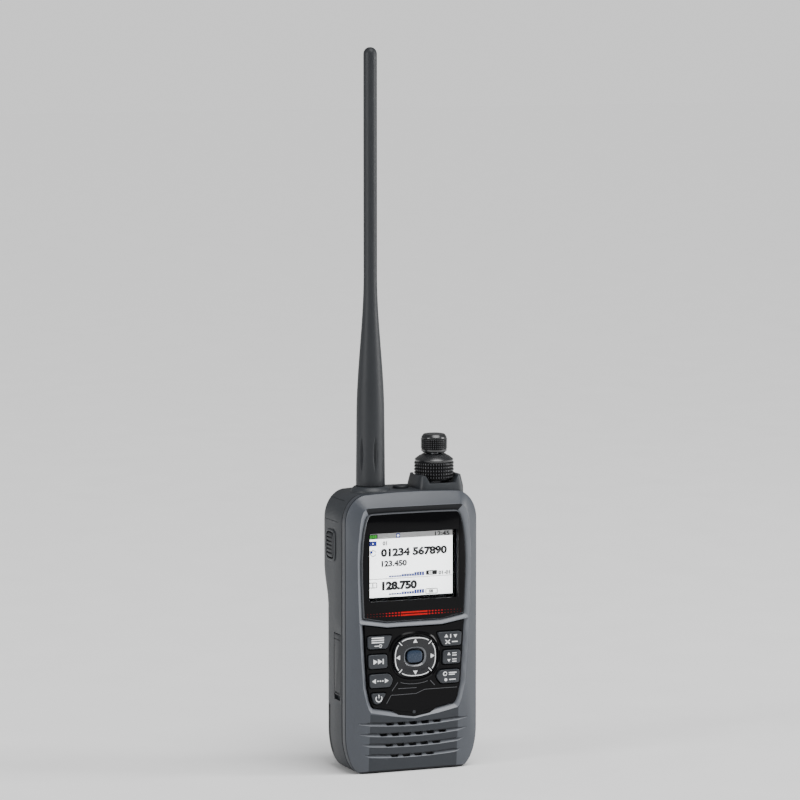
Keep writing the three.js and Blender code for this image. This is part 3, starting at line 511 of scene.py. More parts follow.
LOOK = {
    "front_case": surface("bluish grey moulding", (0.044, 0.05, 0.061), 0.38, 2600, 0.55, 0.08, specular=0.5),
    "rear_case": surface("dark grey moulding", (0.022, 0.025, 0.029), 0.46, 2600, 0.5, 0.08, specular=0.4),
    "gloss_panel": surface("gloss black", (0.002, 0.002, 0.0025), 0.1, 900, 0.0, 0.1, 0.02, specular=0.12),
    "display": surface("display frame", (0.006, 0.006, 0.007), 0.4, 2500, 0.05, specular=0.2),
    "key": surface("key plastic", (0.024, 0.027, 0.032), 0.36, 3000, 0.2, 0.06, specular=0.4),
    "knob": surface("knob plastic", (0.009, 0.0095, 0.011), 0.28, 3000, 0.0, 0.08, specular=0.8),
    "soft_rubber": surface("antenna rubber", (0.017, 0.019, 0.022), 0.5, 2600, 0.35, 0.07, specular=0.35),
    "silicone": surface("silicone", (0.12, 0.13, 0.14), 0.6, 2000, 0.1),
    "circuit_board": board_material(),
    "black_plastic": surface("black moulding", (0.011, 0.012, 0.0135), 0.46, 2600, 0.4, 0.08, specular=0.35),
    "steel": surface("steel", (0.55, 0.56, 0.58), 0.3, 1500, 0.1, 0.04, metallic=1.0, stretch=(1, 1, 6)),
    "brass": surface("gilt brass", (0.75, 0.52, 0.2), 0.28, 1500, 0.1, 0.04, metallic=1.0, stretch=(1, 1, 6)),
    "casting": surface("cast aluminium", (0.5, 0.51, 0.53), 0.5, 1800, 0.4, 0.06, metallic=1.0),
    "cell_wrap": surface("cell wrap", (0.02, 0.09, 0.3), 0.35, 800, 0.1, 0.08),
}
INK = surface("white print", (0.82, 0.83, 0.84), 0.5, 2500, 0.05, 0.03)
RED = surface("red print", (0.48, 0.002, 0.002), 0.5, 2500, 0.05, 0.06, specular=0.15)
DARK_RED = surface("dark red print", (0.17, 0.002, 0.002), 0.5, 2500, 0.05, 0.06, specular=0.15)
# Painted highlight: a lighter grey for the opening's inner slopes, the grille's upward lips and the window
# bar, where the light falls.
HIGHLIGHT_GREY = surface("grey moulding painted highlight", (0.14, 0.15, 0.168), 0.36, 3200, 0.3, 0.06)
BAND_GREY = surface("grey band", (0.03, 0.034, 0.041), 0.44, 2600, 0.5, 0.08, specular=0.4)
DEEP_GREY = surface("grey in shade", (0.012, 0.013, 0.015), 0.6, 3200, 0.3, 0.06, specular=0.2)
# Painted highlight on the knurl studs' tops, and painted shade in the gaps between them.
KNURL_HIGHLIGHT = surface("knurl top painted highlight", (0.06, 0.062, 0.068), 0.34, 2600, 0.1, 0.08, specular=0.7)
KNURL_SHADE = surface("knurl gap painted shade", (0.0035, 0.0035, 0.004), 0.6, 2600, 0.1, 0.08, specular=0.15)
# Painted highlight: a light grey on the window frame's bevel and round the centre key's well, where gloss
# black reflects the light.
GLOSS_HIGHLIGHT = surface("gloss painted highlight", (0.11, 0.115, 0.125), 0.22, 2200, 0.05, 0.06, specular=0.8)
CHIN_GREY = surface("shaded grey moulding", (0.021, 0.0245, 0.0305), 0.42, 2600, 0.45, 0.07, specular=0.35)
CENTRE = surface("centre key", (0.022, 0.036, 0.062), 0.25, 2200, 0.08, 0.08, specular=0.4)
PAD = surface("four-way pad", (0.01, 0.011, 0.013), 0.24, 2200, 0.05, 0.08, specular=0.4)
LINES = surface("panel line", (0.07, 0.072, 0.078), 0.4, 2500, 0.05)
SCREEN_WHITE = lit("screen white", (0.92, 0.94, 0.95), 2.8)
SCREEN_GREY = lit("screen grey", (0.3, 0.3, 0.3), 0.7)
SCREEN_BLACK = surface("screen black", (0.01, 0.01, 0.012), 0.4, 2500, 0.0)
SCREEN_BLUE = lit("screen blue", (0.003, 0.02, 0.3), 0.15)
SCREEN_GREEN = lit("screen green", (0.02, 0.42, 0.01), 0.4)
GLASS = glass_material()

for subpart in frame["record"]["subparts"]:
    node = frame["nodes"][subpart["node"]]
    node.data.materials.clear()
    node.data.materials.append(LOOK[subpart["material_slot"]])


# --- the case's outlines

TOP_CORNER = (9.3, 12)
BOTTOM_CORNER = (7.5, 17)
TOP_CROWN = 0.6
UPPER_ROUND = 3.5
LOWER_ROUND = 9
GRIP_LOW = 68
GRIP_HIGH = 84


def case_outline(inset):
    """The case from the front, drawn in by an amount that is given for each place."""
    top = HEIGHT - TOP_CROWN
    corner_x = HALF_WIDTH - TOP_CORNER[0]
    crown = [(corner_x * i / 8, lerp(HEIGHT, top, (i / 8) ** 2)) for i in range(8)]
    upper = arc(corner_x, top - TOP_CORNER[1], *TOP_CORNER, 90, 0, 16)
    heights = [GRIP_HIGH + 10, GRIP_HIGH + 4, GRIP_HIGH, 80, 76, 72, GRIP_LOW, GRIP_LOW - 4, 55, 40, 28]
    lower_x = HALF_WIDTH - BOTTOM_CORNER[0]
    lower = arc(lower_x, BOTTOM_CORNER[1], *BOTTOM_CORNER, 0, -90, 16)
    foot = [(lower_x * (1 - i / 4), 0) for i in range(1, 5)]
    half = crown + upper + [(HALF_WIDTH, z) for z in heights] + lower + foot
    drawn = []
    for x, z in half:
        sideways = min(1, max(0, (x - corner_x) / TOP_CORNER[0])) ** 0.5
        amount = inset(x, z, sideways)
        upright = amount * math.sqrt(1 - sideways**2) * (1 if z > HEIGHT / 2 else -1)
        drawn.append((x - (amount * sideways if x else 0), z - upright))
    return mirrored(drawn)


def inset_outline(amount):
    return case_outline(lambda x, z, sideways: amount)


# The right half of the edge round the window and the keys: the crest, and where its inner slope ends.
CREST_TOP = [(0, 110.4), (10, 110.4), (20, 110.3), (21.4, 109.9), (22.5, 108.8), (23.2, 107), (23.6, 105.3)]
CREST_SIDE = [(24.2, 100.5), (24.7, 96), (25, 88), (24.9, 80), (24.4, 66), (23.6, 50), (22.6, 36), (21, 29.5)]
CREST_FOOT = [(20, 26.9), (19.2, 25.8), (10.4, 24), (0, 22.4)]
INNER_TOP = [(0, 108.1), (10, 108.1), (18.8, 107.9), (19.8, 107.5), (20.6, 106.6), (21.2, 105.2)]
INNER_SIDE = [(21.6, 103.8), (22.4, 99.8), (22.9, 95.6), (23.3, 88), (23.2, 80), (22.6, 66), (21.8, 50)]
INNER_FOOT = [(20.9, 36), (19.7, 30.4), (18.9, 28.4), (18.0, 27.4), (9.9, 25.8), (0, 24.1)]
crest = mirrored(CREST_TOP + CREST_SIDE + CREST_FOOT)
inner = mirrored(INNER_TOP + INNER_SIDE + INNER_FOOT)
INNER_DEPTH = PANEL_FRONT + 0.95

BAR_TOP = ((24.6, 64.6), (12.3, 62.6))
BAR_FOOT = ((24.6, 62.7), (12.3, 60.8))


def width_at(half, z):
    for (x0, z0), (x1, z1) in zip(half, half[1:]):
        if z0 >= z >= z1:
            return lerp(x0, x1, (z0 - z) / (z0 - z1))
    return half[-1][0]


# --- front case

LIP_RECESS = [(0, 26), (10.9, 27.6), (10.3, 26.5), (8.4, 25), (6.9, 24.1), (0, 23.0)]
LINE_FRONT = BEVEL_EDGE + 0.2
LINE_BACK = BEVEL_EDGE + 0.85
SIDE_LINE = [(LINE_FRONT, -1), (LINE_FRONT, 0.6), (LINE_BACK, 0.6), (LINE_BACK, -1)]
CHIN_HALF = 19.5
CHIN = {"top": 25.2, "bottom": 1.2, "low_front": -13.3}
# The height of each slot's foot, its number of holes and the length of its tips.
GRILLE_ROWS = [(19.5, 5, 4.6), (15.0, 6, 4.2), (10.6, 5, 3.3), (6.1, 4, 2.0)]
GRILLE_HALF = 19.4
GRILLE_SAG = 0.8
HOLE_PITCH = 5.2


def chin_front(z):
    return lerp(CHIN["low_front"], CREST, (z - CHIN["bottom"]) / (CHIN["top"] - CHIN["bottom"]))


def front_block():
    levels = ((PARTING, 0.2), (PARTING - 0.3, 0), (BEVEL_EDGE, 0.1))
    places = [(x, y, z) for y, amount in levels for x, z in inset_outline(amount)]
    places += [(x, CREST, z) for x, z in crest]
    chin = ((CREST, CHIN["top"]), (CHIN["low_front"], CHIN["bottom"]))
    places += [(side * CHIN_HALF, y, z) for y, z in chin for side in (-1, 1)]
    shape = bmesh.new()
    for point in places:
        shape.verts.new(Vector(point) * MM)
    made = bmesh.ops.convex_hull(shape, input=shape.verts)
    loose = {v for v in made["geom_interior"] + made["geom_unused"] if isinstance(v, bmesh.types.BMVert)}
    bmesh.ops.delete(shape, geom=list(loose), context="VERTS")
    bmesh.ops.dissolve_limit(shape, angle_limit=math.radians(0.6), verts=shape.verts, edges=shape.edges)
    mesh = bpy.data.meshes.new("front_shell")
    shape.to_mesh(mesh)
    shape.free()
    return bevel(add_object("front_shell", mesh), 0.7, 3, 14)


def groove(z, tip):
    """One slot of the speaker grille: a sloping lip below, and a back wall above it."""
    sections = []
    for i in range(-13, 14):
        x = math.copysign((GRILLE_HALF + tip) * (abs(i) / 13), i)
        foot = z + GRILLE_SAG * min(1, abs(x) / GRILLE_HALF) ** 2 + 1.1 * max(0, (abs(x) - GRILLE_HALF) / tip)
        fade = 1 - smoothstep(GRILLE_HALF - 1, GRILLE_HALF + tip, abs(x))
        depth = 0.1 + 0.85 * fade
        lip = 0.1 + 0.8 * fade
        height = lip + 0.05 + 0.75 * fade
        front = lerp(chin_front(foot), BEVEL_EDGE, max(0, abs(x) - CHIN_HALF) / (HALF_WIDTH - CHIN_HALF))
        back, past = front + depth, front - 0.9
        corners = ((back, lip), (past, -0.9 * lip / depth), (past, height), (back, height))
        sections.append([(x, y, foot + up) for y, up in corners])
    return loft("groove", sections)


def grille_holes():
    for z, holes, _ in GRILLE_ROWS:
        for i in range(holes):
            x = (i - (holes - 1) / 2) * HOLE_PITCH + 0.013
            foot = z + GRILLE_SAG * (abs(x) / GRILLE_HALF) ** 2 + 0.17
            ends = i in (0, holes - 1) or holes == 4
            top = foot + (1.0 if ends else 1.49)
            mouth = [(x - 1.47, foot), (x + 1.43, foot), (x + 2.07, top), (x - 2.03, top)]
            yield plate("hole", "y", mouth, CREST - 1.1, BEVEL_EDGE + 0.9)


def front_case():
    shell = front_block()
    past = 1.8
    beyond = [(lerp(a, c, past), lerp(b, d, past)) for (a, b), (c, d) in zip(inner, crest)]
    out = INNER_DEPTH + (CREST - INNER_DEPTH) * past
    cut(
        shell,
        stack("opening", "y", [(PANEL_BACK + FIT, inner), (INNER_DEPTH, inner), (out, beyond)]),
        plate("display hole", "y", rectangle(0, 86, 20.2, 15.2), CREST, PARTING + 1),
        plate("lip recess", "y", mirrored(LIP_RECESS), CREST - 1, PANEL_FRONT + 0.9),
        stack("side line", "y", [(y, inset_outline(depth)) for y, depth in SIDE_LINE], closed=True),
        *[groove(z, tip) for z, _, tip in GRILLE_ROWS],
        *grille_holes(),
    )
    finish(shell, RADIO, "front_case", "front_case", angle=22)
    turn = math.copysign(1, cross(*crest[:3]))
    edges = list(zip(crest, crest[1:] + crest[:1]))

    def in_opening(x, z):
        return all(cross(a, b, (x, z)) * turn > -1e-3 for a, b in edges)

    def in_grille(y, z):
        return z < 24 and y < BEVEL_EDGE

    def on_chin(x, y, z, normal):
        on_front = y < BEVEL_EDGE and normal.y < -0.9 and normal.z < 0.3
        return on_front and abs(x) < CHIN_HALF and z < CHIN["top"]

    def on_slope(x, y, z, normal):
        return y < INNER_DEPTH + 0.1 and normal.y > -0.95 and z > 20 and in_opening(x, z)

    # Faces given a painted highlight: the opening's inner slopes and the grille slots' upward-facing lips.
    def painted_highlight(x, y, z, normal):
        return on_slope(x, y, z, normal) or (in_grille(y, z) and 0.35 < normal.z < 0.9)

    def shaded(x, y, z, normal):
        under = (on_slope(x, y, z, normal) or in_grille(y, z)) and normal.z < -0.35
        return under or abs(y - (LINE_FRONT + LINE_BACK) / 2) < 0.34

    paint(shell, CHIN_GREY, on_chin)
    paint(shell, HIGHLIGHT_GREY, painted_highlight)
    paint(shell, DEEP_GREY, shaded)
    paint(shell, BAND_GREY, lambda x, y, z, n: y > LINE_BACK and not in_opening(x, z))


def window_bar():
    """The bar between the window and the keys, which leans back towards its upper edge."""

    def row(edge, y, lift=0.0):
        (_, side_z), (kink_x, kink_z) = edge
        half = [(width_at(CREST_SIDE, side_z) - 0.35, side_z + lift), (kink_x, kink_z + lift)]
        return [(x, y, z) for x, z in half] + [(-x, y, z) for x, z in reversed(half)]

    rows = [
        row(BAR_TOP, PANEL_BACK),
        row(BAR_TOP, PANEL_FRONT + 0.7),
        row(BAR_FOOT, CREST - 0.1, 0.3),
        row(BAR_FOOT, CREST + 0.1),
        row(BAR_FOOT, PANEL_BACK),
    ]
    faces = [tuple(4 * k for k in range(5)), tuple(4 * k + 3 for k in reversed(range(5)))]
    for k in range(5):
        low, high = 4 * k, 4 * ((k + 1) % 5)
        faces += [(low + i, low + i + 1, high + i + 1, high + i) for i in range(3)]
    made = new_object("window_bar", [p for r in rows for p in r], faces)
    bevel(made, 0.12, 2, 20)
    # The whole bar takes the painted highlight grey.
    finish(made, RADIO, "front_case", material=HIGHLIGHT_GREY, angle=22)


# --- window and display

VIEW = {"left": -18.8, "right": 18.3, "bottom": 72.8, "top": 99.1}
(_, DISPLAY_FRONT, _), _ = box_mm("display_module")


def window_half():
    upper = [(x, z) for x, z in INNER_TOP + INNER_SIDE if z > BAR_TOP[0][1]]
    return upper + [(width_at(INNER_SIDE, BAR_TOP[0][1]), BAR_TOP[0][1]), BAR_TOP[1]]


def lens_sections(outline, front):
    return [(PANEL_BACK, outline), (INNER_DEPTH + 0.1, outline), (front, shrink(outline, 0.5))]


def display_window():
    outline = shrink(mirrored(window_half()), 0.12)
    made = stack("window_frame", "y", lens_sections(outline, PANEL_FRONT - 0.05))
    hole = rectangle(0, (VIEW["bottom"] + VIEW["top"]) / 2 - 0.3, 19.6, 14.1, 0.8)
    bevel(made, 0.15, 2, 12)
    cut(
        made,
        plate("hole", "y", hole, PANEL_FRONT - 1, PANEL_BACK + 1),
        plate("pane room", "y", shrink(hole, -0.5), PANEL_FRONT + 0.3, PANEL_FRONT + 0.75),
    )
    finish(made, RADIO, "gloss_panel", "display_window", angle=18)
    in_hole = lambda x, z: abs(x) < 20.2 and 71 < z < 101
    paint(made, LOOK["display"], lambda x, y, z, n: in_hole(x, z) and abs(n.y) < 0.5)
    # A painted highlight on the frame's bevel round the window.
    paint(made, GLOSS_HIGHLIGHT, lambda x, y, z, n: not in_hole(x, z) and -0.95 < n.y < -0.2)
    pane = plate("window_glass", "y", shrink(hole, -0.45), PANEL_FRONT + 0.35, PANEL_FRONT + 0.7)
    finish(pane, RADIO, "gloss_panel", material=GLASS)


def stepped_bars(marks, foot):
    heights = [0.65] * 5 + [1.05] * 5 + [1.6] * 4
    for i, height in enumerate(heights):
        x = VIEW["left"] + 9 + 1.12 * i
        marks.bar(x, x + 0.95, foot, foot + height)


def display():
    (_, _, low_z), (_, back, high_z) = box_mm("display_module")
    half_x, _, half_z = half_of("display_module")
    outline = rectangle(0, (low_z + high_z) / 2, half_x, half_z, 0.5)
    body = bevel(plate("display_body", "y", outline, DISPLAY_FRONT + 0.1, back), 0.2)
    finish(body, RADIO, "display", "display_module")
    face = DISPLAY_FRONT + 0.08
    left, right, top = VIEW["left"], VIEW["right"], VIEW["top"]

    white = Print("screen_white", face)
    white.bar(left, right, VIEW["bottom"], top - 2.2)
    grey = Print("screen_grey", face)
    grey.bar(left, right, top - 2.2, top)
    grey.front -= 0.02
    grey.bar(left, right, top - 18.85, top - 18.6)
    grey.strip(arc(left + 2, top - 8, 1.2, 1.2, 20, 340, 16), 0.35)
    for x0, x1, z in ((0.3, 3.6, 22.2), (25.3, 30.4, 25.9)):
        loop = rectangle(left + (x0 + x1) / 2, top - z + 1, (x1 - x0) / 2, 1, 0.5)
        grey.strip(loop + loop[:1], 0.38)

    black = Print("screen_black", face, 0.08)
    for words, x, z, *size in (
        ("12:45", 29.3, 2.05, 1.8, 0.045, 6.5),
        ("01", 6.2, 4.8, 1.6, 0.06),
        ("01234 567890", 5.4, 9.4, 3.05, 0.085, 29.3),
        ("123.450", 5.7, 13.6, 2.3, 0.075, 11.2),
        ("128.750", 5.9, 23.2, 3.2, 0.1, 15.5),
        ("01-01", 30.9, 18.15, 1.5, 0.06, 5.2),
        ("08", 26.7, 25.5, 1.3, 0.06),
        ("1", 1.7, 21.8, 1.3, 0.08),
    ):
        black.text(words, left + x, top - z, *size)
    black.polygon(rectangle(left + 27.8, top - 17.2, 2.5, 0.95, 0.4))
    black.polygon(rectangle(left + 2.1, top - 1.15, 1.9, 0.95, 0.3))

    blue = Print("screen_blue", face, 0.1)
    blue.polygon(rectangle(left + 1.8, top - 4.0, 1.75, 1.0, 0.2))
    blue.polygon(rectangle(left + 13, top - 1.15, 0.85, 0.9, 0.15))
    blue.polygon(rectangle(left + 1.2, top - 7.5, 0.55, 0.55))
    stepped_bars(blue, top - 18.2)
    stepped_bars(blue, top - 25.5)

    green = Print("screen_green", face, 0.12)
    for i in range(3):
        x = left + 0.55 + 1.05 * i
        green.bar(x, x + 0.9, top - 1.75, top - 0.55)

    bright = Print("screen_bright", face, 0.12)
    bright.bar(left + 1.7, left + 2.15, top - 4.25, top - 3.8)
    bright.polygon(rectangle(left + 13, top - 1.1, 0.4, 0.3))
    bright.text("02", left + 26.6, top - 17.75, 1.15, 0.02)

    inks = (SCREEN_WHITE, SCREEN_GREY, SCREEN_BLACK, SCREEN_BLUE, SCREEN_GREEN, SCREEN_WHITE)
    for marks, material in zip((white, grey, black, blue, green, bright), inks):
        marks.build(RADIO, material, "display")


def red_stripe():
    bright = Print("red_stripe", PANEL_FRONT - 0.05)
    dim = Print("red_dots", PANEL_FRONT - 0.05)
    for z in (65.15, 66.25):
        bright.bar(-5.9, 5.9, z, z + 0.62)
        middle = z + 0.3
        for side in (-1, 1):
            for i in range(11):
                x = side * (6.75 + 1.38 * i)
                size = lerp(0.58, 0.16, i / 10)
                low, high = middle - size * 0.6, middle + size * 0.6
                marks = bright if i < 5 else dim
                marks.polygon([(x - size, middle), (x, low), (x + size, middle), (x, high)])
    bright.build(RADIO, RED, "gloss_panel")
    dim.build(RADIO, DARK_RED, "gloss_panel")


# --- keys

KEY_NAMES = ("key_menu", "key_skip", "key_scan", "key_power", "key_band", "key_memory", "key_record")
key_outlines = {name: front_outline(name, KEY_FACE + 0.4) for name in KEY_NAMES}
RING_HALF = (9.45, 8.4)
RING_POWER = 2.5


def ring_outline(grow):
    return superellipse(PAD_Z, RING_HALF[0] + grow, RING_HALF[1] + grow, RING_POWER)


def keypad_bezel():
    half = [(x, z) for x, z in INNER_SIDE + INNER_FOOT if z < BAR_FOOT[0][1] - 0.5]
    side = (width_at(INNER_SIDE, BAR_FOOT[0][1]), BAR_FOOT[0][1])
    outline = shrink(mirrored([BAR_FOOT[1], side] + half), 0.12)
    made = stack("key_panel", "y", lens_sections(outline, PANEL_FRONT))
    for name in KEY_NAMES:
        grown = shrink(key_outlines[name], -0.3)
        wide = shrink(key_outlines[name], -0.85)
        sections = [(PANEL_FRONT - 0.5, wide), (PANEL_FRONT + 0.3, grown), (PANEL_BACK + 1, grown)]
        cut(made, stack("key hole", "y", sections))
    collar = ((0.4, 2.1), (-0.1, 1.9), (-0.45, 1.3), (-0.45, 1.1), (0.4, 0.55))
    sections = [(PANEL_FRONT + depth, ring_outline(grow)) for depth, grow in collar]
    unite(made, stack("collar", "y", sections, closed=True))
    cut(made, plate("pad hole", "y", ring_outline(0.5), PANEL_FRONT - 2, PANEL_BACK + 1))
    finish(made, RADIO, "gloss_panel", "keypad_bezel", angle=22)

    lines = Print("panel_lines", PANEL_FRONT, 0.05)
    lines.line([(-12.2, 29.2), (-10.2, 32.5), (0.9, 32.6), (4.7, 34.1), (19, 34.1)], 0.22)
    lines.line([(-9.8, 34.3), (-7.3, 37.7)], 0.22)
    lines.line([(-7.1, 35.1), (1, 35.0)], 0.22)
    lines.line([(7.2, 37.6), (9.1, 35.6)], 0.3)
    lines.strip([(-6, 37.6), (-4.5, 37.1), (-2, 36.75), (0, 36.7), (2, 36.75), (4.5, 37.1), (6, 37.6)], 0.22)
    lines.build(RADIO, LINES, "gloss_panel")
    lip = shrink(mirrored(LIP_RECESS), 0.05)
    insert = plate("lip_insert", "y", lip, PANEL_FRONT + 0.25, PANEL_FRONT + 0.85)
    finish(insert, RADIO, "gloss_panel")
    profile = ((0.001, 0.3), (0.72, 0.3), (0.72, 0.05), (0.6, -0.1), (0.001, -0.1))
    circle = lambda radius: [(radius * math.cos(a), 25 + radius * math.sin(a)) for a in full_turn(24)]
    dot = stack("centre_dot", "y", [(PANEL_FRONT + depth, circle(radius)) for radius, depth in profile])
    finish(dot, RADIO, "gloss_panel", material=LOOK["key"])


def key_marks(name, marks):
    """White marks on a key, drawn from its middle."""
    x, z = [(min(values) + max(values)) / 2 for values in zip(*key_outlines[name])]

    def triangle(right, up, size, turn):
        angles = [math.radians(turn + 120 * i) for i in range(3)]
        marks.polygon([(x + right + size * math.cos(a), z + up + size * math.sin(a)) for a in angles])

    def bar(x0, x1, z0, z1):
        marks.bar(x + x0, x + x1, z + z0, z + z1)

    def loop(right, up, radius, end, steps, width):
        marks.strip(arc(x + right, z + up, radius, radius, 0, end, steps), width)

    if name == "key_menu":
        for i in range(3):
            bar(-3.6, 1.8, 0.92 * i - 0.15, 0.92 * i + 0.3)
        loop(0.3, -1.4, 0.55, 345, 14, 0.28)
        bar(-2.3, -0.2, -1.55, -1.25)
    elif name == "key_skip":
        triangle(-1.5, 0, 1.25, 0)
        triangle(0.5, 0, 1.25, 0)
        bar(1.9, 2.4, -1.05, 1.05)
    elif name == "key_scan":
        triangle(-3.0, 0, 1.1, 180)
        triangle(2.1, 0, 1.1, 0)
        for i in range(3):
            marks.polygon(arc(x - 1.5 + 1.05 * i, z, 0.32, 0.32, 0, 330, 11))
    elif name == "key_power":
        marks.strip(arc(x, z + 0.1, 1.3, 1.3, 140, 400, 24), 0.34)
        bar(-0.17, 0.17, 0.3, 1.75)
    elif name == "key_band":
        triangle(-1.6, 1.15, 0.95, 90)
        triangle(2.4, 1.25, 0.95, 270)
        bar(0.1, 0.5, 0.4, 1.9)
        marks.line([(x - 1.9, z - 0.5), (x - 0.1, z - 2.0)], 0.42)
        marks.line([(x - 1.9, z - 2.0), (x - 0.1, z - 0.5)], 0.42)
        bar(0.9, 3.4, -1.45, -1.05)
    elif name == "key_memory":
        for lift, turn in ((1.25, 90), (-1.3, 270)):
            triangle(-1.3, lift, 0.8, turn)
            bar(0.2, 2.1, lift - 0.75, lift - 0.4)
            bar(0.2, 2.1, lift + 0.2, lift + 0.55)
    else:
        loop(-1.5, 1.2, 0.75, 345, 16, 0.36)
        bar(0.2, 3.6, 1.35, 1.75)
        bar(0.2, 2.8, 0.6, 1.0)
        marks.polygon(arc(x - 1.2, z - 1.3, 0.62, 0.62, 0, 340, 17))
        bar(0.3, 3.2, -1.5, -1.1)


def keys():
    for name in KEY_NAMES:
        outline = key_outlines[name]
        back = box_mm(name)[1][1]
        body = bevel(plate(name + "_cap", "y", outline, KEY_FACE, back), 0.32, 3, 50)
        unite(body, plate("flange", "y", shrink(outline, -0.6), back - 0.6, back))
        finish(body, name, "key", name, angle=30)
        marks = Print(name + "_mark", KEY_FACE)
        key_marks(name, marks)
        marks.build(name, INK, "key")


def four_way_ring():
    outer = [(RING_BACK, 0.8), (RING_BACK - 0.6, 0.8), (RING_BACK - 0.6, 0), (RING_FACE + 0.7, 0)]
    outer += [(RING_FACE + 0.25, -0.12), (RING_FACE + 0.05, -0.35), (RING_FACE, -0.7), (RING_FACE, -1.3)]
    outer += [(RING_FACE + 0.1, -2.4), (RING_FACE + 0.2, -3.4)]
    well = [(RING_FACE + 0.24, 0.75), (RING_FACE + 0.32, 0.62), (RING_FACE + 0.95, 0.08)]
    well += [(RING_FACE + 1.05, 0), (RING_BACK, 0)]
    sections = [(y, ring_outline(grow)) for y, grow in outer]
    sections += [(y, superellipse(PAD_Z, 4.15 + grow, 3.3 + grow, 2.6)) for y, grow in well]
    ring = stack("four_way_ring", "y", sections, closed=True)
    channel = [(-14.5, 7.8), (-11, 7.8), (-11, 5.2), (-14.5, 5.2)]
    circles = [(y, arc(0, PAD_Z, radius, radius, 0, 352.5, 47)) for y, radius in channel]
    cut(ring, stack("channel", "y", circles, closed=True))
    finish(ring, "dpad_ring", "key", "dpad_ring", material=PAD, angle=25)
    in_well = lambda x, y, z: math.hypot(x, z - PAD_Z) < 5.2 and y < RING_FACE + 1
    # A painted highlight on the well's rim round the centre key.
    paint(ring, GLOSS_HIGHLIGHT, lambda x, y, z, n: in_well(x, y, z) and -0.92 < n.y < -0.3)


def four_way_marks():
    marks = Print("four_way_marks", RING_FACE)
    marks.back = RING_FACE + 0.3
    gap = 0.14
    half_x, half_z = [half - 0.58 for half in RING_HALF]
    for i in range(4):
        corner = math.pi / 4 + math.pi / 2 * i
        angles = [lerp(corner + gap, corner + math.pi / 2 - gap, k / 24) for k in range(25)]
        marks.strip([on_superellipse(PAD_Z, half_x, half_z, RING_POWER, a) for a in angles], 0.34)
        side_x = math.copysign(1, math.cos(corner))
        side_z = math.copysign(1, math.sin(corner))
        marks.line([(side_x * 5.9, PAD_Z + side_z * 5.0), (side_x * 7.1, PAD_Z + side_z * 6.2)], 0.32)
    for turn, reach in ((90, 6.35), (270, 6.35), (0, 7.35), (180, 7.35)):
        a = math.radians(turn)
        x, z = reach * math.cos(a), PAD_Z + reach * math.sin(a)
        marks.polygon([(x + 1.1 * math.cos(a + t), z + 1.1 * math.sin(a + t)) for t in (0, 2.1, -2.1)])
    marks.build("dpad_ring", INK, "key")


def centre_key():
    (_, face, _), (_, back, _) = box_mm("dpad_centre_key")
    half_x, _, half_z = half_of("dpad_centre_key")
    profile = [(back, 0), (back - 0.5, 0), (back - 0.5, -0.2), (face + 0.5, -0.2), (face + 0.25, -0.32)]
    profile += [(face + 0.12, -0.6), (face + 0.05, -1.0), (face, -1.6)]
    sections = [(y, superellipse(PAD_Z, half_x + grow, half_z + grow, 3.2, 40)) for y, grow in profile]
    key = stack("centre_cap", "y", sections)
    finish(key, "dpad_centre_key", "key", "dpad_centre_key", material=CENTRE, angle=35)


# --- rear case and battery


def back_inset(y, z, sideways):
    upper = smoothstep(GRIP_LOW, GRIP_HIGH, z)
    radius = lerp(UPPER_ROUND, LOWER_ROUND, (1 - upper) * sideways)
    past = max(0, y - (BACK - radius))
    return radius - math.sqrt(max(0, radius**2 - past**2))


def rear_block(name):
    step = [(0, 0.9), (0.2, 0.8), (2.3, 0.8), (3.0, 0.12), (3.3, 0)]
    sections = [(REAR_FRONT + y, inset_outline(amount)) for y, amount in step]
    sections.append((2, inset_outline(0)))
    for i in range(15):
        y = BACK - LOWER_ROUND + LOWER_ROUND * math.sin(i / 14 * math.pi / 2)
        sections.append((y, case_outline(lambda x, z, sideways: back_inset(y, z, sideways))))
    return stack(name, "y", sections)


SKIRT_FRONT = 5.9
SKIRT_DEPTH = 1.1
FOOT = (6.5, 26.5)
OUT_LEFT = -40
ALL_ACROSS = (OUT_LEFT, -OUT_LEFT)


def pack_space(gap):
    """The space of the pack: a tall block, and a wider foot with a thin skirt round the case."""
    past = BACK + 5
    half = PACK_HALF + gap
    heights = (FOOT[0] - gap, FOOT[1] + gap)
    tall = block("pack space", (-half, half), (PACK_FRONT - gap, past), (PACK_BOTTOM - gap, PACK_TOP + gap))
    foot = block("foot space", ALL_ACROSS, (9.2 - gap, past), heights)
    skirt = block("skirt space", ALL_ACROSS, (SKIRT_FRONT - gap, 9.5), heights)
    inside = inset_outline(SKIRT_DEPTH + gap)
    cut(skirt, plate("case inside the skirt", "y", inside, SKIRT_FRONT - 3, 12))
    return unite(tall, foot, skirt)


def round_tool(x, z, radius, low, high):
    return plate("tool", "y", arc(x, z, radius, radius, 0, 345, 23), low, high)


def bore(x, radius, low, high):
    return turned("bore", [(0, low), (radius, low), (radius, high), (0, high)], x)


def shoulder_lines():
    """Two fine cuts across each upper corner of the case."""
    for side in (-1, 1):
        for height in (HEIGHT - 3.8, HEIGHT - 12.4):
            turn = math.asin(min(1, (height - HEIGHT + 12.6) / TOP_CORNER[1]))
            place_on = Vector((HALF_WIDTH - TOP_CORNER[0] * (1 - math.cos(turn)), height))
            outward = Vector((math.cos(turn) * TOP_CORNER[1], math.sin(turn) * TOP_CORNER[0])).normalized()
            along = Vector((-outward.y, outward.x)) * 0.12
            low, high = place_on - outward * 0.25, place_on + outward
            quad = [low - along, high - along, high + along, low + along]
            yield plate("shoulder line", "y", [(side * q.x, q.y) for q in quad], -3.9, BACK - 4)


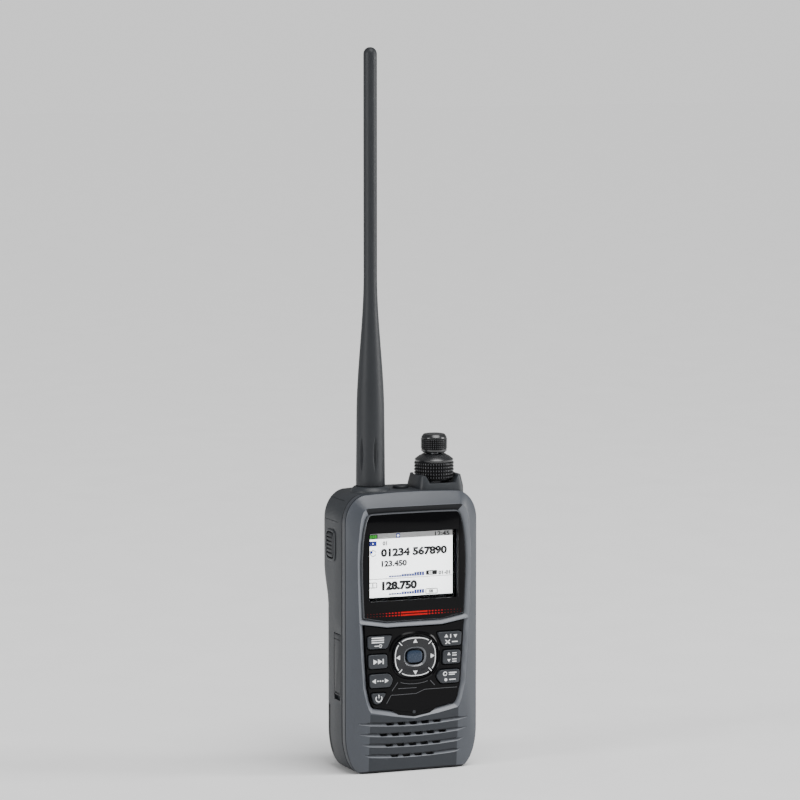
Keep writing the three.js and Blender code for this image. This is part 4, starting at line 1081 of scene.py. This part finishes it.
def rear_case():
    shell = rear_block("rear_shell")
    cut(shell, plate("room for the boards", "y", inset_outline(2), REAR_FRONT - 1, PACK_FRONT - 1.5))
    cut(shell, pack_space(FIT))
    for i in range(4):
        x, _, z = middle_of(f"case_screw_{i + 1}")
        cut(shell, round_tool(x, z, 2.4, 3.2, 8))
    cut(shell, block("terminal room", (-9, 9), (0.5, 8), (14, 20)))
    for x in (-8, 8):
        cut(shell, round_tool(x, HEIGHT - 16, 1.3, BACK - 3, BACK + 1))

    _, y, z = middle_of("side_button")
    _, half_y, half_z = half_of("side_button")
    hole = rectangle(y, z, half_y - 0.5, half_z - 0.5, 2.4)
    cut(shell, plate("button hole", "x", hole, OUT_LEFT, -24))
    (_, low_y, low_z), (_, high_y, high_z) = box_mm("side_flap")
    pocket = block(
        "flap pocket",
        (OUT_LEFT, -HALF_WIDTH + 1.9),
        (low_y - FIT, high_y + FIT),
        (low_z - 0.4, high_z + FIT),
    )
    notch = block("notch", (OUT_LEFT, -HALF_WIDTH + 1.4), (low_y + 0.2, high_y - 0.2), (low_z - 2.0, low_z))
    cut(shell, unite(pocket, notch))
    for node in ("card_socket", "usb_socket"):
        low, high = box_mm(node)
        depths, heights = [(low[i] + 0.6, high[i] - 0.6) for i in (1, 2)]
        cut(shell, block("socket hole", (-30, low[0] + 8), depths, heights))
    cut(shell, *shoulder_lines())
    cut(shell, bore(KNOB_X, 5, HEIGHT - 8, HEIGHT + 1))
    cut(shell, bore(middle_of("jack_cap")[0], 2.1, HEIGHT - 8, HEIGHT + 1))
    finish(shell, RADIO, "rear_case", "rear_case", angle=28)
    paint(shell, DEEP_GREY, lambda x, y, z, n: y < REAR_FRONT + 3.05)


def knob_guard():
    top = HEIGHT + 5.4
    half_x = TUNE_RADIUS + 1.6
    front, back = TUNE_RADIUS + 1.5, 7.1
    middle, half_y = (back - front) / 2, (back + front) / 2
    levels = [(HEIGHT - 3.6, 0.25), (HEIGHT + 0.7, 0.1), (HEIGHT + 1.7, -0.05), (top, -0.75)]
    sections = [(z, rectangle(KNOB_X, middle, half_x + grow, half_y + grow, 3.2, 5)) for z, grow in levels]
    guard = stack("knob_guard", "z", sections)
    floor = HEIGHT + 2.3
    notch = [(KNOB_X - 5.6, floor), (KNOB_X + 5.6, floor), (KNOB_X + 7.7, top + 1), (KNOB_X - 7.7, top + 1)]
    well = bore(KNOB_X, TUNE_RADIUS + 0.5, HEIGHT + 0.1, top + 1)
    cut(guard, well, plate("notch", "y", notch, -20, 20))
    bevel(guard, 0.35, 3, 30)
    finish(guard, RADIO, "rear_case", angle=35)


def antenna_boss():
    side = [(8.3, -1.5), (8.2, -0.3), (7.8, 0.3), (7.4, 0.8), (7.0, 1.2), (6.7, 1.4), (6.4, 1.5)]
    profile = [(0, -1.5)] + side + [(3.7, 1.5), (3.7, -1.0), (0, -1.0)]
    boss = turned("antenna_boss", [(radius, HEIGHT + up) for radius, up in profile], ANTENNA_X)
    finish(boss, RADIO, "rear_case", angle=40)


LABEL_Z = 45
LABEL_HALF = (15, 13)
LABEL_DEPTH = 0.3


def battery():
    shell = rear_block("battery_shell")
    boolean(shell, [pack_space(0)], "INTERSECT")
    low, high = box_mm("battery_cover")
    across, heights = [(low[i] - 0.2, high[i] + 0.2) for i in (0, 2)]
    cut(shell, block("cover room", across, (PACK_FRONT - 2, high[1] + 0.1), heights))
    low, high = box_mm("battery_latch")
    room_z = (low[2] - 0.3, high[2] + 2.8)
    cut(shell, block("latch room", (low[0] - 0.3, high[0] + 0.3), (low[1] - 0.3, BACK + 2), room_z))
    for i in range(7):
        ridge = rectangle(0, PACK_TOP - 6 - 2.4 * i, 15 - 0.8 * i, 0.45, 0.4, 3)
        cut(shell, plate("grip groove", "y", ridge, BACK - 0.45, BACK + 1))
    lines = [rectangle(x, LABEL_Z, 0.5, 17, 0.4, 3) for x in (-20, 20)]
    for outline in lines + [rectangle(0, LABEL_Z, *LABEL_HALF, 1.5, 5)]:
        cut(shell, plate("shallow cut", "y", outline, BACK - LABEL_DEPTH, BACK + 1))
    finish(shell, "battery", "black_plastic", "battery_case", angle=28)

    def on_label(x, y, z, normal):
        inside = abs(x) < LABEL_HALF[0] and abs(z - LABEL_Z) < LABEL_HALF[1]
        return inside and abs(y - BACK + LABEL_DEPTH) < 0.05

    paint(shell, LOOK["key"], on_label)
    paint(shell, DEEP_GREY, lambda x, y, z, n: y < BACK - LOWER_ROUND / 2 and abs(x) > 24 and abs(n.x) > 0.3)


def battery_latch():
    low, high = box_mm("battery_latch")
    x, _, z = middle_of("battery_latch")
    half_x, _, half_z = half_of("battery_latch")
    outline = rectangle(x, z, half_x, half_z, 1.2)
    latch = bevel(plate("latch_slide", "y", outline, low[1], high[1]), 0.3, 2, 40)
    across = (low[0] + 1.5, high[0] - 1.5)
    for i in range(4):
        z = low[2] + 1.4 + 1.4 * i
        cut(latch, block("rib", across, (high[1] - 0.4, high[1] + 1), (z - 0.3, z + 0.3)))
    finish(latch, "battery_latch", "black_plastic", "battery_latch")


# --- left side and top


def side_button():
    (face, _, _), (back, _, _) = box_mm("side_button")
    _, y, z = middle_of("side_button")
    half_y, half_z = [half - 1.05 for half in half_of("side_button")[1:]]

    def loop(x, grow, radius):
        return x, rectangle(y, z, half_y + grow, half_z + grow, radius, 6)

    profile = [(face, -0.75), (face + 0.15, -0.35), (face + 0.5, 0)]
    profile += [(back - 0.7, 0), (back - 0.7, 1.05), (back, 1.05)]
    button = stack("ribbed_button", "x", [loop(x, grow, 2.3 + grow * 0.5) for x, grow in profile])
    for i in range(5):
        rib = rectangle(y, z - 3.2 + 1.6 * i, half_y - 0.75, 0.36, 0.2, 2)
        cut(button, plate("rib", "x", rib, face - 1, face + 0.5))
    finish(button, "side_button", "soft_rubber", "side_button", angle=30)
    paint(button, DEEP_GREY, lambda px, py, pz, n: n.x > -0.5 or px > face + 0.4)

    (front, _, _), (back, _, _) = box_mm("side_button_frame")
    _, rim_y, rim_z = half_of("side_button_frame")
    sections = [(back, 0), (front + 0.35, 0), (front + 0.05, -0.3), (front, -0.55)]
    sections = [(x, rectangle(y, z, rim_y + grow, rim_z + grow, 3.2 + grow * 0.5, 6)) for x, grow in sections]
    sections += [loop(x, 0.55, 2.5) for x in (front + 0.05, back)]
    rim = stack("button_rim", "x", sections, closed=True)
    finish(rim, RADIO, "rear_case", "side_button_frame", angle=35)
    past_button = lambda py, pz: max(abs(py - y) - half_y, abs(pz - z) - half_z)
    paint(rim, DEEP_GREY, lambda px, py, pz, n: past_button(py, pz) < 0.6 and n.x > -0.6)


def side_flap():
    (face, low_y, low_z), (back, high_y, high_z) = box_mm("side_flap")
    y = (low_y + high_y) / 2
    outline = rounded([(low_y, low_z), (high_y, low_z), (high_y, high_z), (low_y, high_z)], 0.7, 3)
    sheet = bevel(plate("flap_sheet", "x", outline, face, face + 1.6), 0.22, 2, 40)
    grip = plate("grip", "x", rectangle(y, low_z + 0.9, 2.6, 0.35, 0.2, 2), face - 1, face + 0.4)
    crease = plate("crease", "x", rectangle(y, high_z - 2.2, 4, 0.2), face - 1, face + 0.3)
    cut(sheet, grip, crease)
    unite(sheet, block("tongue", (face + 1.4, back), (-3.4, -2.2), (47, 55)))
    finish(sheet, "side_flap", "soft_rubber", "side_flap", angle=35)


def jack_cap():
    x, _, _ = middle_of("jack_cap")
    radius, _, _ = half_of("jack_cap")
    _, (_, back, top) = box_mm("jack_cap")
    base = HEIGHT + 0.15
    profile = [(0, HEIGHT - 0.6), (1.5, HEIGHT - 0.6), (1.5, base), (radius, base), (radius, base + 0.5)]
    profile += [(radius - 0.25, base + 0.9), (radius - 0.7, top), (1.2, top)]
    profile += [(0.9, top - 0.15), (0, top - 0.15)]
    lid = turned("cap_lid", profile, x, segments=40)
    unite(lid, bevel(block("tab", (x - 1.2, x + 1.2), (1.0, back), (base, base + 0.7)), 0.15, 2))
    finish(lid, "jack_cap", "soft_rubber", "jack_cap", angle=35)


# --- antenna and knobs


def grid_turned(name, x, heights, segments, radius_at):
    """A turned piece whose radius depends on the level and on the angle."""
    rings = []
    for k, height in enumerate(heights):
        reach = [(a, radius_at(k, a)) for a in full_turn(segments)]
        rings.append([(x + r * math.cos(a), r * math.sin(a), height) for a, r in reach])
    return loft(name, rings)


FLUTES = {"low": 123.2, "high": 138.6, "depth": 0.9, "half_angle": 0.19, "first": -151.5}


def antenna():
    tip_radius = 2.77
    foot = ANTENNA_BOTTOM - 0.3
    swell_low, swell_top = HEIGHT + 30, HEIGHT + 88
    tip = ANTENNA_TOP - tip_radius
    heights = [foot, foot + 0.15, foot + 0.5]
    heights += [lerp(FLUTES["low"] - 2, FLUTES["high"] + 2, i / 22) for i in range(23)]
    heights += [lerp(swell_low, swell_top, i / 16) for i in range(17)]
    heights += [lerp(swell_top, tip, i / 6) for i in range(1, 7)]
    heights += [ANTENNA_TOP - tip_radius * (1 - math.sin(i * math.pi / 14)) for i in range(1, 7)]

    def flute(z, angle):
        """How deep the six flutes cut at a height and an angle."""
        middle = (FLUTES["low"] + FLUTES["high"]) / 2
        along = (z - middle) / ((FLUTES["high"] - FLUTES["low"]) / 2)
        if abs(along) >= 1:
            return 0
        step = math.radians(60)
        turn = (angle - math.radians(FLUTES["first"]) + step / 2) % step - step / 2
        half = FLUTES["half_angle"] * (1 - along**2)
        if abs(turn) >= half:
            return 0
        return FLUTES["depth"] * (1 - along**2) * (0.5 + 0.5 * math.cos(math.pi * turn / half))

    def radius_at(k, angle):
        z = heights[k]
        if z > tip:
            return math.sqrt(max(0.01, tip_radius**2 - (z - tip) ** 2))
        waist = ANTENNA_RADIUS - 0.25
        if z < swell_low:
            radius = lerp(ANTENNA_RADIUS, waist, (z - ANTENNA_BOTTOM) / (swell_low - ANTENNA_BOTTOM))
        else:
            radius = lerp(waist, tip_radius, smoothstep(swell_low, swell_top, z))
        return radius - (0.5, 0.15, 0)[min(k, 2)] - flute(z, angle)

    sheath = grid_turned("antenna_rubber", ANTENNA_X, heights, 144, radius_at)
    finish(sheath, "antenna", "soft_rubber", "antenna_sheath", angle=40)


KNURL_ROWS = 5


def knurled(name, plain_low, knurl, plain_high, radius, teeth, depth):
    """A knob with rows of small square studs between two plain ends."""
    levels = [(r, z, 0.0) for r, z in plain_low]
    pitch = (knurl[1] - knurl[0]) / KNURL_ROWS
    stud = ((0.15, 0), (0.3, 1), (0.75, 1), (0.92, 0))
    for row in range(KNURL_ROWS):
        foot = knurl[0] + row * pitch
        levels += [(radius, foot + pitch * up, raised) for up, raised in stud]
    levels += [(r, z, 0.0) for r, z in plain_high]

    def radius_at(k, angle):
        reach, _, raised = levels[k]
        share = angle / (2 * math.pi) * teeth % 1
        tooth = smoothstep(0.2, 0.3, share) * (1 - smoothstep(0.7, 0.8, share))
        in_knurl = len(plain_low) <= k < len(levels) - len(plain_high)
        return reach - depth * (1 - raised * tooth) if in_knurl else reach

    return grid_turned(name, KNOB_X, [z for _, z, _ in levels], teeth * 8, radius_at)


def colour_knurl(knob, radius, depth, knurl):
    """Painted highlights on the studs' tops, and painted shade in the gaps between them."""

    def between(start, end):
        """Picks faces by how far they lie below the studs' tops, as a share of the studs' depth."""

        def chosen(x, y, z, normal):
            share = (radius - math.hypot(x - KNOB_X, y)) / depth
            return knurl[0] < z < knurl[1] and start < share < end

        return chosen

    paint(knob, KNURL_HIGHLIGHT, between(-1, 0.2))
    paint(knob, KNURL_SHADE, between(0.6, 1.2))


def tuning_knob():
    r, low, top = TUNE_RADIUS, TUNE_BOTTOM, TUNE_TOP
    knurl = (low + 0.8, top - 3.2)
    foot = [(r - 1.2, low), (r - 0.6, low + 0.15), (r - 0.35, low + 0.6)]
    head = [(r - 0.3, top - 2.9), (r - 0.25, top - 2.3), (r - 0.6, top - 1.9), (6.1, top - 0.8)]
    head += [(5.2, top - 0.4), (4.9, top - 0.1), (4.6, top)]
    knob = knurled("tuning_dial", foot, knurl, head, r, 46, 0.6)
    cut(knob, bore(KNOB_X, 3.4, low - 1, top + 1))
    cut(knob, bore(KNOB_X, 6.9, low - 1, 119.9))
    finish(knob, "tuning_knob", "knob", "tuning_knob", angle=40)
    colour_knurl(knob, r, 0.6, knurl)


def volume_knob():
    r, low, top = VOLUME_RADIUS, VOLUME_BOTTOM, VOLUME_TOP
    knurl = (low + 1.6, top - 1.9)
    foot = [(r - 1.0, low), (r - 0.7, low + 0.12), (r - 0.25, low + 0.5), (r - 0.15, low + 0.75)]
    foot += [(r - 0.15, low + 1.4), (r - 0.35, low + 1.5)]
    head = [(r - 0.2, top - 1.8), (r - 0.15, top - 1.5), (r - 0.3, top - 1.2), (r - 0.85, top - 0.35)]
    head += [(r - 1.1, top - 0.1), (r - 1.5, top), (r - 1.9, top), (r - 2.1, top - 0.12)]
    knob = knurled("volume_dial", foot, knurl, head, r, 36, 0.4)
    cut(knob, bore(KNOB_X, 2.2, low - 1, top - 1.6))
    finish(knob, "volume_knob", "knob", "volume_knob", angle=40)
    colour_knurl(knob, r, 0.4, knurl)


# --- stage


def aimed(name, data, location, towards):
    made = add_object(name, data)
    made.location = location
    made.rotation_euler = Vector(towards).to_track_quat("-Z", "Y").to_euler()
    return made


def area_light(name, location, power):
    data = bpy.data.lights.new(name, "AREA")
    data.shape = "RECTANGLE"
    data.size, data.size_y = 0.35, 0.9
    data.energy = power
    aimed(name, data, location, Vector((0, 0, 0.09)) - Vector(location))


def stage():
    corners = [(-6000, -6000, 0), (6000, -6000, 0), (6000, 6000, 0), (-6000, 6000, 0)]
    floor = new_object("floor", corners, [(0, 1, 2, 3)])
    floor.data.materials.append(surface("pale floor", (0.9, 0.9, 0.9), 0.7, 30, 0.0, 0.005))
    floor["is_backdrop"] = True

    world = bpy.data.worlds.new("studio")
    bpy.context.scene.world = world
    world.use_nodes = True
    tree = world.node_tree
    seen = add_node(tree, "LightPath", "Is Camera Ray", {})
    strength = add_node(tree, "MapRange", "Result", {"Value": seen, "To Min": 0.28, "To Max": 1.0})
    set_inputs(tree, tree.nodes["Background"], {"Color": (1, 1, 1, 1), "Strength": strength})

    sun = bpy.data.lights.new("top light", "SUN")
    sun.energy = 3.1
    sun.angle = math.radians(45)
    aimed("top light", sun, (0, 0, 0), (-0.1, 0.42, -1))
    area_light("left light", (-1.3, -0.3, 0.5), 9)
    area_light("right light", (1.3, -0.55, 0.45), 16)

    camera = bpy.data.cameras.new("camera")
    camera.sensor_width = 36
    camera.lens = 193.5
    camera.clip_end = 50
    made = aimed("camera", camera, (-0.6578, -1.6276, 0.3461), (0.37234, 0.92159, -0.10973))
    bpy.context.scene.camera = made


front_case()
window_bar()
display_window()
display()
red_stripe()
keypad_bezel()
keys()
four_way_ring()
four_way_marks()
centre_key()
rear_case()
knob_guard()
antenna_boss()
battery()
battery_latch()
side_button()
side_flap()
jack_cap()
antenna()
tuning_knob()
volume_knob()
stage()

[[list(map(float, c)) for c in corners] for corners in (cad_bounds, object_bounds())]
